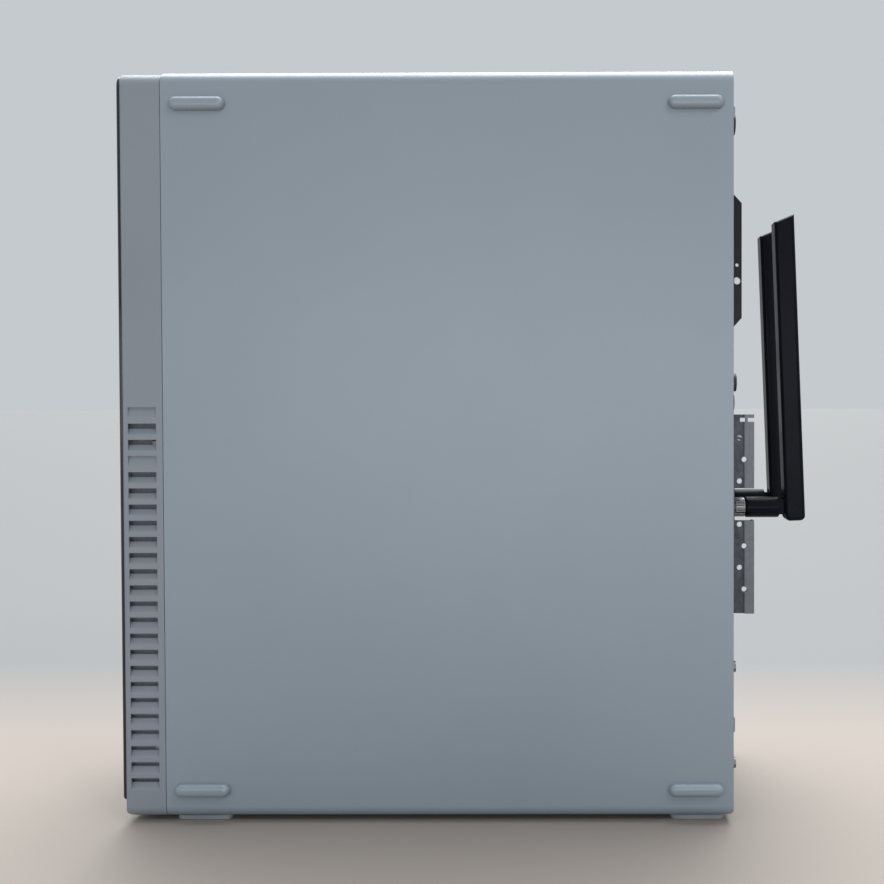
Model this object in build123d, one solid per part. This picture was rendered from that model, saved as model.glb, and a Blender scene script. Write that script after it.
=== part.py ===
from build123d import *
import math
import os

# A slim desktop tower: a painted folded case on a galvanised chassis, a moulded front bezel,
# a small-format main board, a slim power supply, two drives and two swivelling radio antennas.
# X runs across the case (+X is the plain side), Y runs from front to rear, Z is up.
# The origin is on the floor, under the middle of the overall outline. Heights below are
# counted from a datum FLOOR_DROP above the floor, and save() lifts every piece by that much.

# Case envelope
FLOOR_DROP = 2.0
CASE_WIDTH = 97.0
CASE_TOP = 341.05
CASE_BOTTOM = 0.3
REAR_Y = 121.5
CASE_DEPTH = 279.5
FRONT_Y = REAR_Y - CASE_DEPTH
FASCIA_THICK = 1.4
BEZEL_FRONT_Y = FRONT_Y + FASCIA_THICK
BEZEL_DEPTH = 18.5
SEAM_Y = BEZEL_FRONT_Y + BEZEL_DEPTH
SEAM_GAP = 0.15
SIDE_X = CASE_WIDTH / 2
SHEET = 1.0
TOP_BEND = 6.5
BOTTOM_BEND = 5.0
REAR_CORNER = 3.5
COVER_SEAM_X = -36.0
FLANGE_WIDTH = 8.0
FLANGE_FRONT_Y = REAR_Y - SHEET

# Chassis planes
PANEL_Y = REAR_Y - 2.1
TRAY_X = 44.6
FLOOR_Z = 4.6
FRAME_FRONT_Y = SEAM_Y + 0.8
CHASSIS_TOP = 337.9
CHASSIS_X = 46.5
CHASSIS_CORNER = 4.0

# Main board and its slots
BOARD_FACE_X = 38.0
BOARD_THICK = 1.6
BOARD_FRONT_Y = -80.0
BOARD_REAR_Y = 118.3
BOARD_BOTTOM_Z = 89.5
BOARD_HEIGHT = 244.0
SLOT_PITCH = 20.32
SLOT_BOTTOM_Z = 99.56
SLOT_COUNT = 4
WIFI_SLOT = 2
PROCESSOR_Y = 47.0
PROCESSOR_Z = 255.0

# Louvres in the sides of the bezel
LOUVRE_COUNT = 24
LOUVRE_PITCH = 7.38
LOUVRE_TOP_Z = 188.4
LOUVRE_HEIGHT = 5.2
LOUVRE_LENGTH = 12.8
LOUVRE_DEPTH = 1.9
LOUVRE_BACK = 2.5
LOUVRE_THROAT = 2.3
LOUVRE_LIP = 0.5
LOUVRE_UNDERCUT = 0.8
LOUVRE_BLIND = (0, 3)
LOUVRE_BLIND_DEPTH = 1.1

# Antennas
ANTENNA_X = (26.0, -14.0)
ANTENNA_NAMES = ("near", "far")
ANTENNA_Z = SLOT_BOTTOM_Z + WIFI_SLOT * SLOT_PITCH
ANTENNA_PIVOT_Y = REAR_Y + 31.6
ANTENNA_THICK = 9.4
ANTENNA_WIDTH = 11.0
ANTENNA_LENGTH = 144.6
ANTENNA_LEAN = 2.2
ANTENNA_TOP_SLANT = 20.0
RUNNING_FIT = 0.06

# Feet
FOOT_LENGTH = 25.4
FOOT_HEIGHT = 6.2
FOOT_PROUD = 3.3
FOOT_ROUND = 2.5
FOOT_FRONT_Y = SEAM_Y + 17.0
FOOT_REAR_Y = REAR_Y - 17.0
SIDE_FOOT_Z = (13.4, 325.6)
BASE_FOOT_X = (-34.0, 38.0)
BASE_FOOT_Y = (FOOT_FRONT_Y - 1.2, FOOT_REAR_Y + 0.9)
BASE_FOOT_LENGTH = 25.2
BASE_FOOT_WIDTH = 14.0

# Power supply, fans and drives
PSU_HALF_WIDTH = 42.5
PSU_BOTTOM = 5.9
PSU_HEIGHT = 65.0
PSU_LENGTH = 175.0
PSU_REAR_Y = 119.3
FAN_SIZE = 80.0
FAN_BORE = 38.0
FAN_HUB = 14.0
SPINDLE = 1.5
SYSTEM_FAN_Z = 52.0
PSU_SCREWS = ((-30.0, 7.65), (30.0, 7.65), (-30.0, 69.15), (30.0, 69.15))
DRIVE_LENGTH = 147.0
DRIVE_WIDTH = 101.6
DRIVE_THICK = 26.1
DRIVE_BOTTOM_Z = 185.0
DRIVE_FRONT_Y = -130.6
DRIVE_X = (-43.5, -13.0)
THUMBSCREW_X = -43.0
THUMBSCREW_Z = (215.0, 81.0)

os.makedirs("parts", exist_ok=True)


def block(x0, x1, y0, y1, z0, z1):
    centre = ((x0 + x1) / 2, (y0 + y1) / 2, (z0 + z1) / 2)
    return Pos(*centre) * Box(abs(x1 - x0), abs(y1 - y0), abs(z1 - z0))


def rod_x(radius, x0, x1, y, z):
    return Pos((x0 + x1) / 2, y, z) * Rot(0, 90, 0) * Cylinder(radius, abs(x1 - x0))


def rod_y(radius, x, y0, y1, z):
    return Pos(x, (y0 + y1) / 2, z) * Rot(90, 0, 0) * Cylinder(radius, abs(y1 - y0))


def rod_z(radius, x, y, z0, z1):
    return Pos(x, y, (z0 + z1) / 2) * Cylinder(radius, abs(z1 - z0))


def join(parts):
    parts = list(parts)
    whole = parts[0]
    for part in parts[1:]:
        whole = whole + part
    return whole


def cut(body, tools):
    for tool in tools:
        body = body - tool
    return body


def save(node, *shapes):
    solids = []
    for shape in shapes:
        if isinstance(shape, (list, tuple)):
            for item in shape:
                solids.extend(item.solids())
        else:
            solids.extend(shape.solids())
    solids = [Pos(0, 0, FLOOR_DROP) * solid for solid in solids]
    group = Compound(children=solids) if len(solids) > 1 else solids[0]
    group.label = node
    export_step(group, f"parts/{node}.step")


def rounded_block(x0, x1, y0, y1, z0, z1, along, radius):
    body = block(x0, x1, y0, y1, z0, z1)
    return fillet(body.edges().filter_by(along), radius)


def case_section(x_cut_low, x_cut_high, y0, y1, inset):
    """The case's rounded outline, shrunk by inset, between two X planes."""
    body = block(-SIDE_X + inset, SIDE_X - inset, y0, y1, CASE_BOTTOM + inset, CASE_TOP - inset)
    top_edges = body.edges().filter_by(Axis.Y).group_by(Axis.Z)[-1]
    body = fillet(top_edges, TOP_BEND - inset)
    bottom_edges = body.edges().filter_by(Axis.Y).group_by(Axis.Z)[0]
    body = fillet(bottom_edges, BOTTOM_BEND - inset)
    return body & block(x_cut_low, x_cut_high, y0 - 1, y1 + 1, CASE_BOTTOM - 1, CASE_TOP + 1)


def rear_corner_cut():
    corner = block(
        -60, 60, REAR_Y - REAR_CORNER, REAR_Y + 1, CASE_BOTTOM - 1, CASE_BOTTOM + REAR_CORNER
    )
    keep = rod_x(REAR_CORNER, -61, 61, REAR_Y - REAR_CORNER, CASE_BOTTOM + REAR_CORNER)
    return corner - keep


# ---------------------------------------------------------------------------------------------
# Case sheet metal
# ---------------------------------------------------------------------------------------------
SHELL_FRONT_Y = SEAM_Y + SEAM_GAP


def case_sheet(x_low, x_high):
    outer = case_section(x_low, x_high, SHELL_FRONT_Y, REAR_Y, 0)
    inner = case_section(-60, 60, SHELL_FRONT_Y - 1, REAR_Y + 1, SHEET)
    return outer - inner


# The outer shell is one folded sheet: plain side, top and base, with a narrow rear flange.
TONGUE_WIDTH = 4.0
REAR_SCREW_X = 43.4
REAR_SCREW_Z = (24.0, 68.4)
EMBOSS_Z = ((38.6, 45.8), (320.0, 324.5))
EMBOSS_PROUD = 1.0

shell = case_sheet(COVER_SEAM_X, SIDE_X + 1)
shell_flange = block(
    SIDE_X - SHEET - FLANGE_WIDTH, SIDE_X - SHEET / 2, FLANGE_FRONT_Y, REAR_Y,
    CASE_BOTTOM + BOTTOM_BEND, CASE_TOP - TOP_BEND,
)
shell = shell + shell_flange
for low, high, root_low, root_high in (
    (CASE_TOP - 1.8, CASE_TOP - 1.3, CASE_TOP - 1.8, CASE_TOP - SHEET / 2),
    (CASE_BOTTOM + 1.3, CASE_BOTTOM + 1.8, CASE_BOTTOM + SHEET / 2, CASE_BOTTOM + 1.8),
):
    tongue_y = (SHELL_FRONT_Y + 4, FLANGE_FRONT_Y - 4)
    shell = shell + block(COVER_SEAM_X - TONGUE_WIDTH, COVER_SEAM_X + TONGUE_WIDTH, *tongue_y, low, high)
    shell = shell + block(COVER_SEAM_X, COVER_SEAM_X + TONGUE_WIDTH, *tongue_y, root_low, root_high)
for low, high in EMBOSS_Z:
    emboss = rounded_block(
        41.0, 46.0, REAR_Y - EMBOSS_PROUD, REAR_Y + EMBOSS_PROUD, low, high, Axis.X, 0.98
    )
    shell = shell + emboss
shell = cut(shell, [rod_y(1.7, REAR_SCREW_X, REAR_Y - 3, REAR_Y + 1, z) for z in REAR_SCREW_Z])
shell = shell - rear_corner_cut()
save("outer_shell", shell)

# The left cover lifts off sideways; two captive thumbscrews hold its rear flange.
cover = case_sheet(-SIDE_X - 1, COVER_SEAM_X - SEAM_GAP)
cover_flange = block(
    -SIDE_X + SHEET / 2, -SIDE_X + SHEET + FLANGE_WIDTH, FLANGE_FRONT_Y, REAR_Y,
    CASE_BOTTOM + BOTTOM_BEND, CASE_TOP - TOP_BEND,
)
cover = cover + cover_flange
screw_holes = [
    rod_y(2.0 + RUNNING_FIT, THUMBSCREW_X, REAR_Y - 3, REAR_Y + 1, z) for z in THUMBSCREW_Z
]
COVER_VENT_ROWS = 10
COVER_VENT_PITCH = 7.0
vents = []
for row in range(COVER_VENT_ROWS):
    z = PROCESSOR_Z + (row - (COVER_VENT_ROWS - 1) / 2) * COVER_VENT_PITCH
    half = math.sqrt(max(40.0**2 - (z - PROCESSOR_Z) ** 2, 100.0))
    vents.append(
        rounded_block(
            -60, -40, PROCESSOR_Y - half, PROCESSOR_Y + half, z - 1.6, z + 1.6, Axis.X, 1.5
        )
    )
cover = cut(cover, screw_holes + vents + [rear_corner_cut()])
save("left_cover", cover)

THUMB_HEAD = 5.0
THUMB_HEAD_LENGTH = 6.5
THUMB_SHAFT = 2.0
THUMB_FLUTES = 18
for name, z in zip(("upper", "lower"), THUMBSCREW_Z):
    head = rod_y(THUMB_HEAD, THUMBSCREW_X, REAR_Y + 0.1, REAR_Y + THUMB_HEAD_LENGTH, z)
    head = chamfer(head.edges().filter_by(GeomType.CIRCLE), 0.5)
    grooves = []
    for k in range(THUMB_FLUTES):
        angle = 2 * math.pi * k / THUMB_FLUTES
        gx = THUMBSCREW_X + (THUMB_HEAD + 0.2) * math.cos(angle)
        gz = z + (THUMB_HEAD + 0.2) * math.sin(angle)
        grooves.append(rod_y(0.5, gx, REAR_Y - 1, REAR_Y + 8, gz))
    head = cut(head, grooves)
    head = head - block(THUMBSCREW_X - 6, THUMBSCREW_X + 6, REAR_Y + 5.6, REAR_Y + 8, z - 0.6, z + 0.6)
    shaft = rod_y(THUMB_SHAFT, THUMBSCREW_X, REAR_Y - 9, REAR_Y + 0.2, z)
    save(f"thumbscrew_{name}", head + shaft)

# Oval feet on the plain side, for laying the case flat, and floor feet under the base.
side_feet = []
base_feet = []
for y in (FOOT_FRONT_Y, FOOT_REAR_Y):
    for z in SIDE_FOOT_Z:
        foot = extrude(
            Plane.YZ * Pos(y, z) * SlotOverall(FOOT_LENGTH, FOOT_HEIGHT), FOOT_PROUD
        )
        foot = Pos(SIDE_X, 0, 0) * foot
        side_feet.append(fillet(foot.faces().sort_by(Axis.X)[-1].edges(), FOOT_ROUND))
for y in BASE_FOOT_Y:
    for x in BASE_FOOT_X:
        foot = Pos(x, y, -FLOOR_DROP / 2 + CASE_BOTTOM / 2) * Box(
            BASE_FOOT_WIDTH, BASE_FOOT_LENGTH, FLOOR_DROP + CASE_BOTTOM
        )
        foot = fillet(foot.edges().filter_by(Axis.Z), 3.0)
        base_feet.append(fillet(foot.faces().sort_by(Axis.Z)[0].edges(), 0.6))
save("side_feet", side_feet)
save("base_feet", base_feet)

# The anchor bracket is a black folded plate riveted to the rear flange, with two lock holes.
BRACKET_Z = (224.0, 285.5)
BRACKET_PROUD = 4.2
BRACKET_SLOPE = 4.6
LOCK_HOLE_Y = REAR_Y + 2.1
bracket_outline = Polyline(
    (REAR_Y, BRACKET_Z[0]),
    (REAR_Y + BRACKET_PROUD, BRACKET_Z[0] + BRACKET_SLOPE),
    (REAR_Y + BRACKET_PROUD, BRACKET_Z[1] - BRACKET_SLOPE),
    (REAR_Y, BRACKET_Z[1]),
    close=True,
)
bracket = Pos(43.0, 0, 0) * extrude(Plane.YZ * make_face(bracket_outline), 1.6)
bracket = bracket + block(40.2, 43.4, REAR_Y, REAR_Y + 1.2, BRACKET_Z[0] + 2, BRACKET_Z[1] - 2)
bracket = bracket - rod_x(1.65, 42, 46, LOCK_HOLE_Y, 245.6)
bracket = bracket - rod_x(0.8, 42, 46, LOCK_HOLE_Y, 252.8)
for z in (BRACKET_Z[0] + 9, BRACKET_Z[1] - 9):
    bracket = bracket + rod_y(1.1, 41.5, REAR_Y + 1.0, REAR_Y + 1.9, z)
save("lock_bracket", bracket)


def pan_screw_y(x, z, y_head, direction, radius, length):
    """A screw along Y; direction is +1 when the head faces the rear."""
    head = rod_y(radius, x, y_head, y_head + direction * radius * 0.6, z)
    shaft = rod_y(radius * 0.5, x, y_head - direction * length, y_head + direction * 0.1, z)
    cross = block(
        x - radius * 0.6, x + radius * 0.6,
        y_head + direction * radius * 0.3, y_head + direction * radius, z - 0.3, z + 0.3,
    )
    upright = block(
        x - 0.3, x + 0.3,
        y_head + direction * radius * 0.3, y_head + direction * radius,
        z - radius * 0.6, z + radius * 0.6,
    )
    return head + shaft - cross - upright


shell_screws = [pan_screw_y(REAR_SCREW_X, z, REAR_Y, 1, 2.5, 2.0) for z in REAR_SCREW_Z]

# ---------------------------------------------------------------------------------------------
# Galvanised chassis
# ---------------------------------------------------------------------------------------------
PANEL_BACK_Y = PANEL_Y + 1.0
SLOT_OPEN_HALF = 6.6
SLOT_X = (-30.0, 37.0)
IO_X = (-6.5, 37.9)
IO_Z = (174.9, 333.2)
HOOK_Z = (30.0, 170.0, 310.0)
TRAY_Y = (-136.0, 119.2)
TRAY_LIP_X = 30.0
TRAY_LIP_Y = (-130.0, 100.0)
WINDOW_HALF = 40.0
FRAME_WINDOW_Z = (104.0, 182.0, 258.0)
FRAME_WINDOW_HEIGHT = 64.0
FRAME_FAN_HOLE = 37.0

# The board tray is a side sheet with a folded floor, open where the processor's back plate shows.
tray = block(TRAY_X, TRAY_X + SHEET, *TRAY_Y, FLOOR_Z, CHASSIS_TOP)
tray = tray + block(-CHASSIS_X, TRAY_X + SHEET, *TRAY_Y, FLOOR_Z, FLOOR_Z + SHEET)
tray = tray + block(TRAY_LIP_X, TRAY_X + SHEET, *TRAY_LIP_Y, CHASSIS_TOP - SHEET, CHASSIS_TOP)
tray_windows = [
    block(
        40, 50, PROCESSOR_Y - WINDOW_HALF, PROCESSOR_Y + WINDOW_HALF,
        PROCESSOR_Z - WINDOW_HALF, PROCESSOR_Z + WINDOW_HALF,
    ),
    block(40, 50, -124, -92, 110, 170),
    block(40, 50, -124, -92, 195, 320),
    block(40, 50, -40, 60, 20, 62),
]
save("chassis_tray", cut(tray, tray_windows))

# The rear panel carries the connector opening, the card slots and the supply's cut-out.
panel = block(-CHASSIS_X, CHASSIS_X, PANEL_Y, PANEL_BACK_Y, FLOOR_Z, CHASSIS_TOP)
panel = fillet(panel.edges().filter_by(Axis.Y).group_by(Axis.Z)[-1], CHASSIS_CORNER)
panel = panel + block(
    -40.0, 28.0, PANEL_Y - 14, PANEL_Y + 0.5, CHASSIS_TOP - SHEET, CHASSIS_TOP
)
panel_cuts = [
    block(IO_X[0], IO_X[1], PANEL_Y - 2, REAR_Y, IO_Z[0], IO_Z[1]),
    block(-38.5, 38.5, PANEL_Y - 2, REAR_Y, 9.4, 67.4),
]
for k in range(SLOT_COUNT):
    z = SLOT_BOTTOM_Z + k * SLOT_PITCH
    panel_cuts.append(
        block(SLOT_X[0], SLOT_X[1], PANEL_Y - 2, REAR_Y, z - SLOT_OPEN_HALF, z + SLOT_OPEN_HALF)
    )
for z in THUMBSCREW_Z:
    panel_cuts.append(block(-60, -39.6, PANEL_Y - 2, REAR_Y, z - 3.0, z + 3.0))
for z in REAR_SCREW_Z:
    panel_cuts.append(rod_y(1.75, REAR_SCREW_X, PANEL_Y - 2, REAR_Y, z))
for x, z in PSU_SCREWS:
    panel_cuts.append(rod_y(1.45, x, PANEL_Y - 2, REAR_Y, z))
REAR_VENT_ROWS = 18
REAR_VENT_PITCH = 5.9
REAR_VENT_BOTTOM_Z = 228.0
for row in range(REAR_VENT_ROWS):
    z = REAR_VENT_BOTTOM_Z + row * REAR_VENT_PITCH
    panel_cuts.append(rounded_block(-38, -12, PANEL_Y - 2, REAR_Y, z - 1.7, z + 1.7, Axis.Y, 1.6))
save("rear_panel", cut(panel, panel_cuts))

# The front frame closes the chassis behind the bezel and carries the fan.
frame = block(-CHASSIS_X, CHASSIS_X, FRAME_FRONT_Y, FRAME_FRONT_Y + SHEET, FLOOR_Z, CHASSIS_TOP)
frame = fillet(frame.edges().filter_by(Axis.Y).group_by(Axis.Z)[-1], CHASSIS_CORNER)
frame_cuts = [rod_y(FRAME_FAN_HOLE, 0, FRAME_FRONT_Y - 2, FRAME_FRONT_Y + 3, SYSTEM_FAN_Z)]
for low in FRAME_WINDOW_Z:
    high = low + FRAME_WINDOW_HEIGHT
    frame_cuts.append(block(-36, 36, FRAME_FRONT_Y - 2, FRAME_FRONT_Y + 3, low, high))
for z in HOOK_Z:
    for side in (-1, 1):
        frame_cuts.append(
            block(side * 40.4, side * 43.8, FRAME_FRONT_Y - 2, FRAME_FRONT_Y + 3, z - 3.6, z + 3.6)
        )
save("front_frame", cut(frame, frame_cuts))

# ---------------------------------------------------------------------------------------------
# Bezel, fascia and the controls behind it
# ---------------------------------------------------------------------------------------------
BEZEL_BOTTOM = CASE_BOTTOM
BEZEL_TOP = CASE_TOP - 0.7
BEZEL_TOP_ROUND = 6.3
BEZEL_BOTTOM_ROUND = 4.8
BEZEL_WALL = 3.2
BEZEL_FRONT_WALL = 2.4
BEZEL_BACK_Y = SEAM_Y - 0.1
BUTTON_Z = 312.0
BUTTON_RADIUS = 6.6
RING_OUTER = 9.0
RING_INNER = 7.0
PORT_Z = (236.0, 290.0)
LIGHT_X = (-4.0, 4.0)
LIGHT_Z = 297.0
LIGHT_HOLE = 1.6
FASCIA_INSET = 0.3
FASCIA_Z = (8.3, 339.7)
FASCIA_TOP_ROUND = 5.6
FASCIA_BOTTOM_ROUND = 2.0
INTAKE_ROWS = 12
INTAKE_PITCH = 8.0
INTAKE_BOTTOM_Z = 20.0
INTAKE_HALF_LENGTH = 30.0

across = block(-SIDE_X, SIDE_X, BEZEL_FRONT_Y, BEZEL_BACK_Y, BEZEL_BOTTOM, BEZEL_TOP)
across = fillet(across.edges().filter_by(Axis.Y).group_by(Axis.Z)[-1], BEZEL_TOP_ROUND)
across = fillet(across.edges().filter_by(Axis.Y).group_by(Axis.Z)[0], BEZEL_BOTTOM_ROUND)
side_view = block(-60, 60, BEZEL_FRONT_Y, BEZEL_BACK_Y + 9, BEZEL_BOTTOM, BEZEL_TOP)
front_edges = side_view.edges().filter_by(Axis.X).group_by(Axis.Y)[0].sort_by(Axis.Z)
side_view = fillet(front_edges[0], 4.2)
front_edges = side_view.edges().filter_by(Axis.X).group_by(Axis.Y)[0].sort_by(Axis.Z)
side_view = fillet(front_edges[-1], 1.0)
plan = block(-SIDE_X, SIDE_X, BEZEL_FRONT_Y, BEZEL_BACK_Y + 9, CASE_BOTTOM - 1, CASE_TOP)
plan = fillet(plan.edges().filter_by(Axis.Z).group_by(Axis.Y)[0], 0.8)
bezel = across & side_view & plan
bezel = bezel - block(
    -SIDE_X + BEZEL_WALL, SIDE_X - BEZEL_WALL,
    BEZEL_FRONT_Y + BEZEL_FRONT_WALL, BEZEL_BACK_Y + 1,
    BEZEL_BOTTOM + BEZEL_WALL, BEZEL_TOP - BEZEL_WALL,
)
louvre_y = BEZEL_FRONT_Y + 2.6
louvre_cuts = []
for k in range(LOUVRE_COUNT):
    top = LOUVRE_TOP_Z - k * LOUVRE_PITCH
    blind = k in LOUVRE_BLIND
    depth = LOUVRE_BLIND_DEPTH if blind else LOUVRE_DEPTH
    for side in (-1, 1):
        face_x = side * SIDE_X
        outline = Polyline(
            (face_x + side * 0.1, top),
            (face_x - side * depth, top),
            (face_x - side * depth, top - (0.6 if blind else LOUVRE_BACK)),
            (face_x + side * 0.1, top - LOUVRE_HEIGHT),
            close=True,
        )
        scoop = extrude(Plane.XZ * make_face(outline), -LOUVRE_LENGTH)
        louvre_cuts.append(Pos(0, louvre_y, 0) * scoop)
        if not blind:
            louvre_cuts.append(
                block(
                    face_x - side * LOUVRE_LIP, face_x - side * (BEZEL_WALL + 1),
                    louvre_y - LOUVRE_UNDERCUT, louvre_y + LOUVRE_LENGTH - LOUVRE_UNDERCUT,
                    top - LOUVRE_THROAT, top - 0.1,
                )
            )
bezel = cut(bezel, louvre_cuts)
bezel_cuts = [
    rod_y(RING_OUTER + 0.3, 0, BEZEL_FRONT_Y - 1, BEZEL_FRONT_Y + 6, BUTTON_Z),
    block(-8.6, 8.6, BEZEL_FRONT_Y - 1, BEZEL_FRONT_Y + 6, PORT_Z[0], PORT_Z[1]),
]
for x in LIGHT_X:
    bezel_cuts.append(rod_y(LIGHT_HOLE, x, BEZEL_FRONT_Y - 1, BEZEL_FRONT_Y + 6, LIGHT_Z))
for k in range(INTAKE_ROWS):
    z = INTAKE_BOTTOM_Z + k * INTAKE_PITCH
    bezel_cuts.append(
        rounded_block(
            -INTAKE_HALF_LENGTH, INTAKE_HALF_LENGTH, BEZEL_FRONT_Y - 1, BEZEL_FRONT_Y + 6,
            z - 2, z + 2, Axis.Y, 1.9,
        )
    )
bezel = cut(bezel, bezel_cuts)
hooks = []
for z in HOOK_Z:
    for side in (-1, 1):
        arm = block(side * 41.4, side * 45.4, BEZEL_BACK_Y - 6, BEZEL_BACK_Y, z - 3, z + 3)
        finger = block(side * 41.4, side * 42.9, BEZEL_BACK_Y - 1, FRAME_FRONT_Y + 3, z - 3, z + 3)
        hooks.extend([arm, finger])
bezel = join([bezel] + hooks)
save("front_bezel", bezel)

# The fascia is a thin dark sheet stuck on the bezel's face, a little short of its lower edge.
fascia = block(
    -SIDE_X + FASCIA_INSET, SIDE_X - FASCIA_INSET, FRONT_Y, BEZEL_FRONT_Y, *FASCIA_Z
)
fascia = fillet(fascia.edges().filter_by(Axis.Y).group_by(Axis.Z)[-1], FASCIA_TOP_ROUND)
fascia = fillet(fascia.edges().filter_by(Axis.Y).group_by(Axis.Z)[0], FASCIA_BOTTOM_ROUND)
fascia = chamfer(fascia.faces().sort_by(Axis.Y)[0].edges(), 0.5)
fascia_cuts = [
    rod_y(RING_OUTER + 0.3, 0, FRONT_Y - 1, BEZEL_FRONT_Y + 1, BUTTON_Z),
    block(-7.0, 7.0, FRONT_Y - 1, BEZEL_FRONT_Y + 1, PORT_Z[0] + 2, PORT_Z[1] - 2),
]
for x in LIGHT_X:
    fascia_cuts.append(rod_y(LIGHT_HOLE, x, FRONT_Y - 1, BEZEL_FRONT_Y + 1, LIGHT_Z))
save("front_fascia", cut(fascia, fascia_cuts))

# The power button is a turned cap on a square stem; the ring around it is a light guide.
button = rod_y(BUTTON_RADIUS, 0, FRONT_Y - 0.4, FRONT_Y + 5.0, BUTTON_Z)
button = fillet(button.faces().sort_by(Axis.Y)[0].edges(), 0.5)
button = button + block(-1.5, 1.5, FRONT_Y + 4.9, FRONT_Y + 7.0, BUTTON_Z - 1.5, BUTTON_Z + 1.5)
save("power_button", button)
ring = rod_y(RING_OUTER, 0, FRONT_Y - 0.1, FRONT_Y + 4.5, BUTTON_Z)
ring = ring - rod_y(RING_INNER, 0, FRONT_Y - 1, FRONT_Y + 6, BUTTON_Z)
pipes = [rod_y(1.3, x, FRONT_Y - 0.1, FRONT_Y + 8.6, LIGHT_Z) for x in LIGHT_X]
save("light_guides", ring, pipes)

# The front port block is a black moulding with two flat sockets, one small socket and a jack.
port_block = block(-6.8, 6.8, FRONT_Y + 0.2, FRONT_Y + 13.0, PORT_Z[0] + 2.2, PORT_Z[1] - 2.2)
port_cuts = [
    block(-3.6, 3.6, FRONT_Y - 1, FRONT_Y + 11, 238 + 1.5, 238 + 14.7),
    block(-3.6, 3.6, FRONT_Y - 1, FRONT_Y + 11, 255.5, 268.7),
    rounded_block(-1.7, 1.7, FRONT_Y - 1, FRONT_Y + 9, 271.4, 280.4, Axis.Y, 1.6),
    rod_y(1.75, 0, FRONT_Y - 1, FRONT_Y + 12, 284.4),
]
port_block = cut(port_block, port_cuts)
for low in (239.5, 255.5):
    tongue = block(0.6, 2.6, FRONT_Y + 2.0, FRONT_Y + 11.5, low + 1, low + 12.2)
    port_block = port_block + tongue
save("front_port_block", port_block)
io_board = block(-13, 13, FRONT_Y + 13.0, FRONT_Y + 14.6, 234, 326)
switch = block(-3, 3, FRONT_Y + 9.2, FRONT_Y + 13.0, BUTTON_Z - 3, BUTTON_Z + 3)
save("front_io_board", io_board + switch)

# The dust filter is a moulded grid that sits in front of the intake fan.
FILTER_Y = SEAM_Y - 1.6
filter_frame = block(-40, 40, FILTER_Y, FILTER_Y + 2.0, SYSTEM_FAN_Z - 40, SYSTEM_FAN_Z + 40)
filter_hole = block(
    -37, 37, FILTER_Y - 1, FILTER_Y + 3, SYSTEM_FAN_Z - 37, SYSTEM_FAN_Z + 37
)
filter_frame = filter_frame - filter_hole
bars = []
for k in range(-6, 7):
    bars.append(
        block(k * 5.6 - 0.5, k * 5.6 + 0.5, FILTER_Y + 0.4, FILTER_Y + 1.2, 14, 90)
    )
    bars.append(
        block(-38, 38, FILTER_Y + 0.4, FILTER_Y + 1.2, SYSTEM_FAN_Z + k * 5.6 - 0.5,
              SYSTEM_FAN_Z + k * 5.6 + 0.5)
    )
save("dust_filter", join([filter_frame] + bars))

# ---------------------------------------------------------------------------------------------
# Fans: one frame and one rotor shape, built about local Z
# ---------------------------------------------------------------------------------------------


def fan_frame(depth):
    """A square frame with a round bore and a four-armed hub seat at its low end."""
    half = FAN_SIZE / 2
    frame_body = block(-half, half, -half, half, 0, depth)
    frame_body = fillet(frame_body.edges().filter_by(Axis.Z), 3.0)
    frame_body = frame_body - rod_z(FAN_BORE, 0, 0, -1, depth + 1)
    for sx in (-1, 1):
        for sy in (-1, 1):
            frame_body = frame_body - rod_z(2.2, sx * 35.75, sy * 35.75, -1, depth + 1)
    arms = [rod_z(FAN_HUB, 0, 0, 0, 2.0)]
    for k in range(4):
        arms.append(Rot(0, 0, 45 + 90 * k) * block(FAN_HUB - 2, FAN_BORE + 0.8, -1.6, 1.6, 0, 2.0))
    return join([frame_body] + arms) - rod_z(SPINDLE + RUNNING_FIT, 0, 0, -1, 4)


def fan_rotor(depth, blades):
    """A hub with pitched blades and a spindle that runs in the frame's hub seat."""
    hub = rod_z(FAN_HUB, 0, 0, 2.6, depth - 0.5)
    hub = fillet(hub.faces().sort_by(Axis.Z)[-1].edges(), 1.2)
    spindle = rod_z(SPINDLE, 0, 0, 0.2, 3.0)
    reach = rod_z(FAN_BORE - 1.0, 0, 0, 3.0, depth - 1.0)
    vanes = []
    for k in range(blades):
        vane = Rot(0, 0, 360 * k / blades) * Pos(25.5, 0, depth / 2 + 1)
        vane = vane * Rot(38, 0, 0) * Box(27, 26, 1.4)
        vanes.append(vane & reach)
    return join([hub, spindle] + vanes)


SYSTEM_FAN_DEPTH = 25.0
SYSTEM_FAN_PLACE = Pos(0, FRAME_FRONT_Y + SHEET + 0.2 + SYSTEM_FAN_DEPTH, SYSTEM_FAN_Z)
SYSTEM_FAN_PLACE = SYSTEM_FAN_PLACE * Rot(90, 0, 0)
save("system_fan_frame", SYSTEM_FAN_PLACE * fan_frame(SYSTEM_FAN_DEPTH))
save("system_fan_rotor", SYSTEM_FAN_PLACE * fan_rotor(SYSTEM_FAN_DEPTH, 7))

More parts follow.
